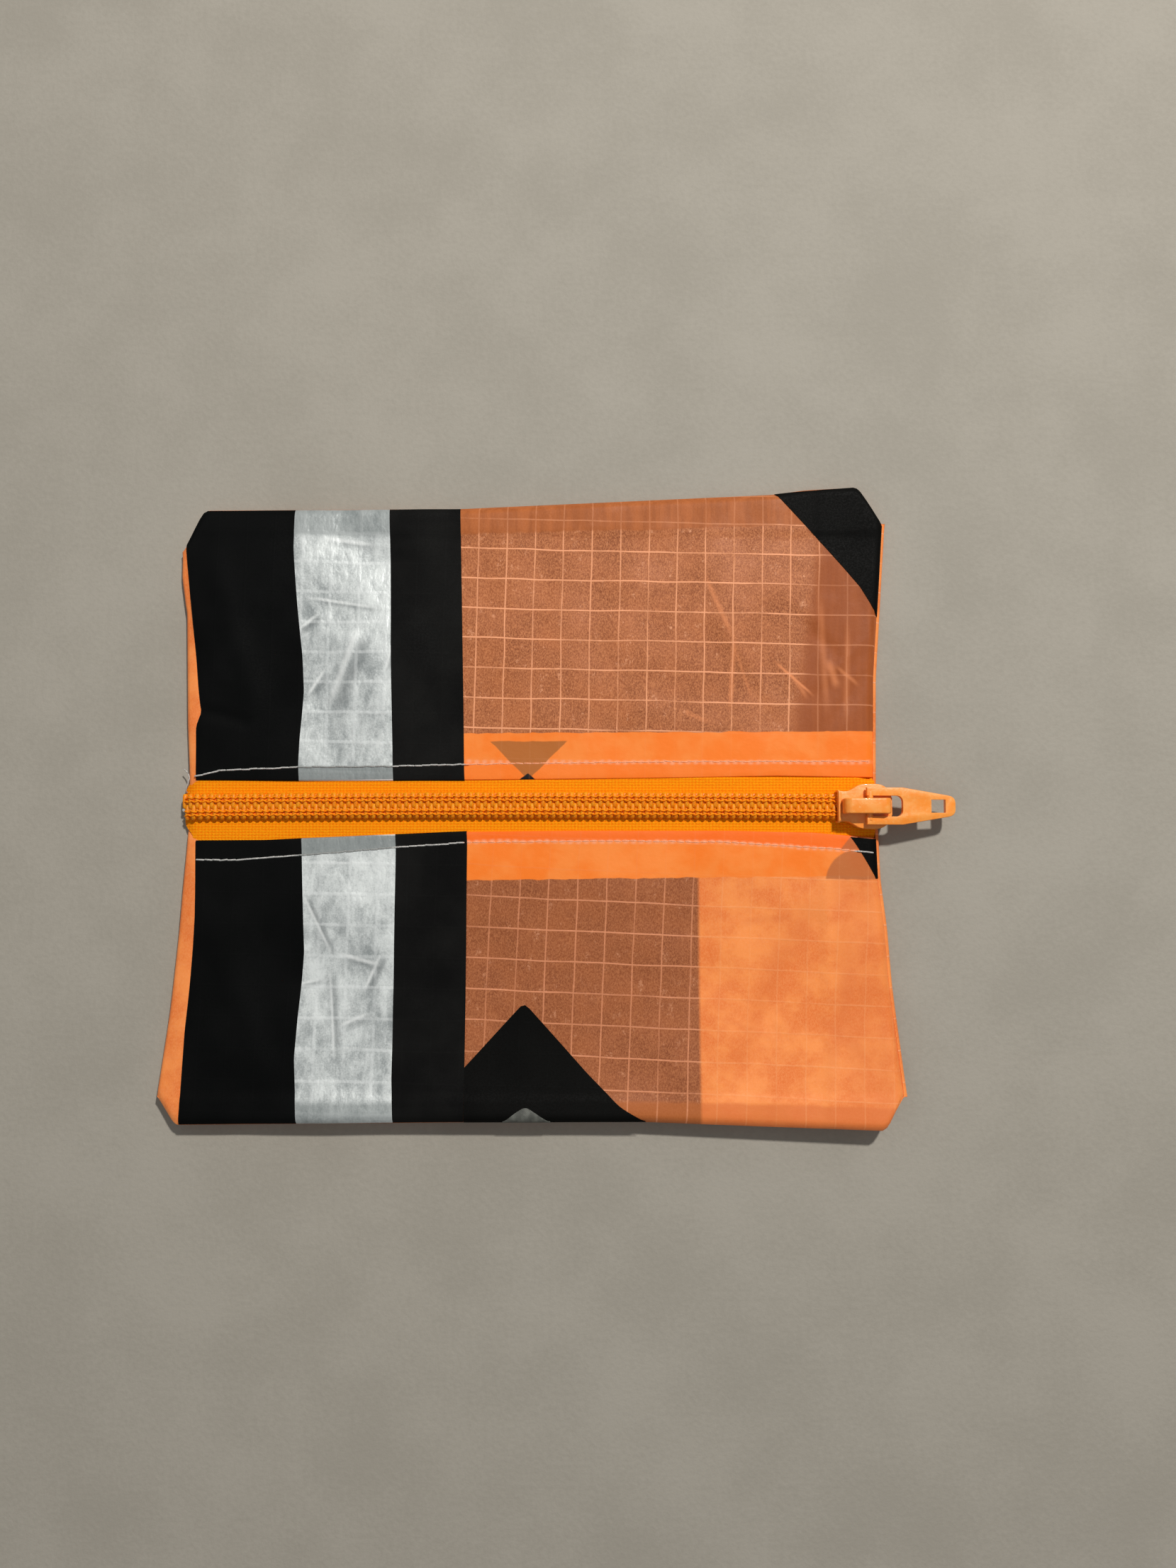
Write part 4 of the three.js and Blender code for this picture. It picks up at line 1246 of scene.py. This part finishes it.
def eased(piece, width, angle=28, segments=3):
    """Rounds a solid's edges, as its mould does."""
    clear_selection()
    piece.select_set(True)
    bpy.context.view_layer.objects.active = piece
    bpy.ops.object.mode_set(mode="EDIT")
    bpy.ops.mesh.select_all(action="SELECT")
    bpy.ops.mesh.remove_doubles(threshold=0.000004)
    bpy.ops.mesh.dissolve_limited(angle_limit=math.radians(0.5))
    bpy.ops.object.mode_set(mode="OBJECT")
    edges = piece.modifiers.new("edges", "BEVEL")
    edges.width = width * MM
    edges.segments = segments
    edges.limit_method = "ANGLE"
    edges.angle_limit = math.radians(angle)
    edges.harden_normals = False
    bpy.ops.object.modifier_apply(modifier=edges.name)
    bpy.ops.object.shade_smooth_by_angle(angle=math.radians(40))
    clear_selection()
    return piece


slider_paint, bench, shader = new_material("slider_paint", coat_weight=0.2)
vector = bench.millimetres()[0]
cloud = bench.noise(vector, 0.35, 3, 0.6)
speck = bench.span(bench.noise(vector, 1.4, 3, 0.7), 0.56, 0.7)
tone = bench.mix(bench.span(cloud, 0.35, 0.65), paint(255, 150, 52), paint(255, 164, 72))
tone = bench.mix(speck * 0.35, tone, paint(255, 186, 112))
shine = bench.span(cloud, 0.35, 0.65, 0.3, 0.42)
finish_surface(bench, shader, tone, shine, bench.noise(vector, 1.6, 3, 0.6), 0.00004)

half_widths = np.array([
    (63.0, 3.7), (63.5, 3.45), (64.3, 3.35), (65.2, 3.42), (65.8, 3.65), (66.4, 4.02), (67.0, 4.42),
    (67.6, 4.73), (68.3, 4.92), (69.2, 5.0), (71.4, 5.0), (72.6, 4.8), (73.6, 4.3), (74.4, 3.5),
    (74.9, 2.5), (75.0, 1.4),
])
plate_x = np.concatenate([np.linspace(63.0, 69.2, 22), np.linspace(69.9, 75.0, 18)])
plate_w = np.interp(plate_x, *half_widths.T)
plate_w = np.convolve(np.pad(plate_w, 1, mode="edge"), [0.25, 0.5, 0.25], mode="valid")
plate = list(zip(plate_x, plate_w)) + list(zip(plate_x[::-1], -plate_w[::-1]))
plate_bottom = height_of("slider_body", top=False)
plate_top = height_of("slider_body")
PLATE = 1.0
FLANGE = 0.45
casting = prism("slider_casting", plate, plate_top - PLATE, plate_top)
eased(casting, 0.2, 40)
lower_plate = eased(prism("lower_plate", plate, plate_bottom, plate_bottom + PLATE), 0.2, 40)
neck = prism(
    "neck",
    [(72.3, 0), (72.8, -0.75), (73.4, -1.15), (74.2, -1.0), (74.5, 0), (74.2, 1.0), (73.4, 1.15),
     (72.8, 0.75)],
    plate_bottom + PLATE - 0.1, plate_top - PLATE + 0.1,
)
walls = []
for side in (1, -1):
    run = plate_x < 71.6
    outer = list(zip(plate_x[run], side * (plate_w[run] - 0.06)))
    inner = list(zip(plate_x[run][::-1], side * (plate_w[run][::-1] - FLANGE)))
    walls.append(eased(prism("flange", outer + inner, tape_top + 0.3, plate_top - PLATE + 0.1), 0.08, 40))
ridge = [(63.08, -3.4), (63.75, -3.1), (63.75, 3.1), (63.08, 3.4)]
ridge = eased(prism("ridge", ridge, plate_top - 0.2, plate_top + 0.3), 0.16)
casting = joined([casting, lower_plate, neck, ridge] + walls, "slider_casting")
dress(casting, slider_paint, "slider_body", "slider")

CROWN_HALF = 1.7
crown_top = height_of("slider_cap")
CROWN_WALL = 0.5


def crown_side(inset, foot):
    """The crown from the side, drawn in by the wall's thickness for its inside."""
    low, high = 63.85 + inset, 74.3 - inset
    top = crown_top - inset
    return [(low, foot), (high, foot), (high, top - 1.5), (high - 0.35, top - 0.6), (high - 1.1, top),
            (low + 1.3, top), (low + 0.4, top - 0.55), (low, top - 1.5)]


crown = prism("slider_crown", crown_side(0, plate_top), -CROWN_HALF, CROWN_HALF, flat=False)
crown = eased(crown, 0.34, 25, 4)
hollow_half = CROWN_HALF - CROWN_WALL
hollow = prism("hollow", crown_side(CROWN_WALL, plate_top - 1), -hollow_half, hollow_half, flat=False)
crown = combined(crown, hollow, "DIFFERENCE")
PIVOT_X = 69.85
PIVOT_Z = 6.65
WINDOW = 1.0
window = prism(
    "window",
    [(PIVOT_X - WINDOW, plate_top - 1), (PIVOT_X + WINDOW, plate_top - 1), (PIVOT_X + WINDOW, PIVOT_Z + 0.5),
     (PIVOT_X + 0.5, PIVOT_Z + WINDOW), (PIVOT_X - 0.5, PIVOT_Z + WINDOW), (PIVOT_X - WINDOW, PIVOT_Z + 0.5)],
    -3, 3, flat=False,
)
crown = combined(crown, window, "DIFFERENCE")
bpy.context.view_layer.objects.active = crown
crown.select_set(True)
bpy.ops.object.shade_smooth_by_angle(angle=math.radians(35))
dress(crown, slider_paint, "slider_cap", "slider")

source = bpy.data.objects["pull_tab"]
pull = bpy.data.objects.new("pull", source.data.copy())
bpy.context.scene.collection.objects.link(pull)
clear_selection()
pull.select_set(True)
bpy.context.view_layer.objects.active = pull
bpy.ops.object.mode_set(mode="EDIT")
bpy.ops.mesh.select_all(action="SELECT")
bpy.ops.mesh.remove_doubles(threshold=0.000002)
bpy.ops.object.mode_set(mode="OBJECT")
eased(pull, 0.26, 24)
dress(pull, slider_paint, "pull_tab", "pull")

spring_steel, bench, shader = new_material("spring_steel", metallic=1.0)
vector = bench.millimetres()[0]
drawn = bench.scaled(vector, (0.3, 6.0, 6.0))
grain = bench.noise(drawn, 1.0, 3, 0.6)
tone = bench.mix(bench.span(grain, 0.3, 0.7), paint(150, 150, 148), paint(196, 196, 192))
finish_surface(bench, shader, tone, bench.span(grain, 0.3, 0.7, 0.25, 0.4))
for slot in bpy.data.objects["lock_spring"].material_slots:
    slot.material = spring_steel

# ---- every cloth piece and the size it was cut to ----
# Widths and lengths include the seam allowances and hems that are turned in. A share is given for a
# piece that doesn't fill its rectangle.
for piece, width, length, share in (
    (upper_front, 165, 84, None), (lower_front, 167, 84, None), (back, 172, 155, None),
    (strips["upper", "black_block"], 26, 70, None), (strips["lower", "black_block"], 26, 70, None),
    (strips["upper", "silver_strip"], 22, 70, None), (strips["lower", "silver_strip"], 22, 70, None),
    (strips["upper", "black_strip"], 17, 70, None), (upper_corner, 25, 30, 0.6),
    (lower_corner, 10, 10.5, 0.32), (grey_peak, 10.1, 10.1, 0.302), (back_block, 144, 123, 0.86),
    (lower_strip, 55, 70, 0.4),
):
    width * MM
    length * MM
    "folded" if piece in (upper_front, lower_front) else "laid"
    share * width * length * MM**2 if share else None
bpy.context.scene.view_settings.view_transform = "Standard"
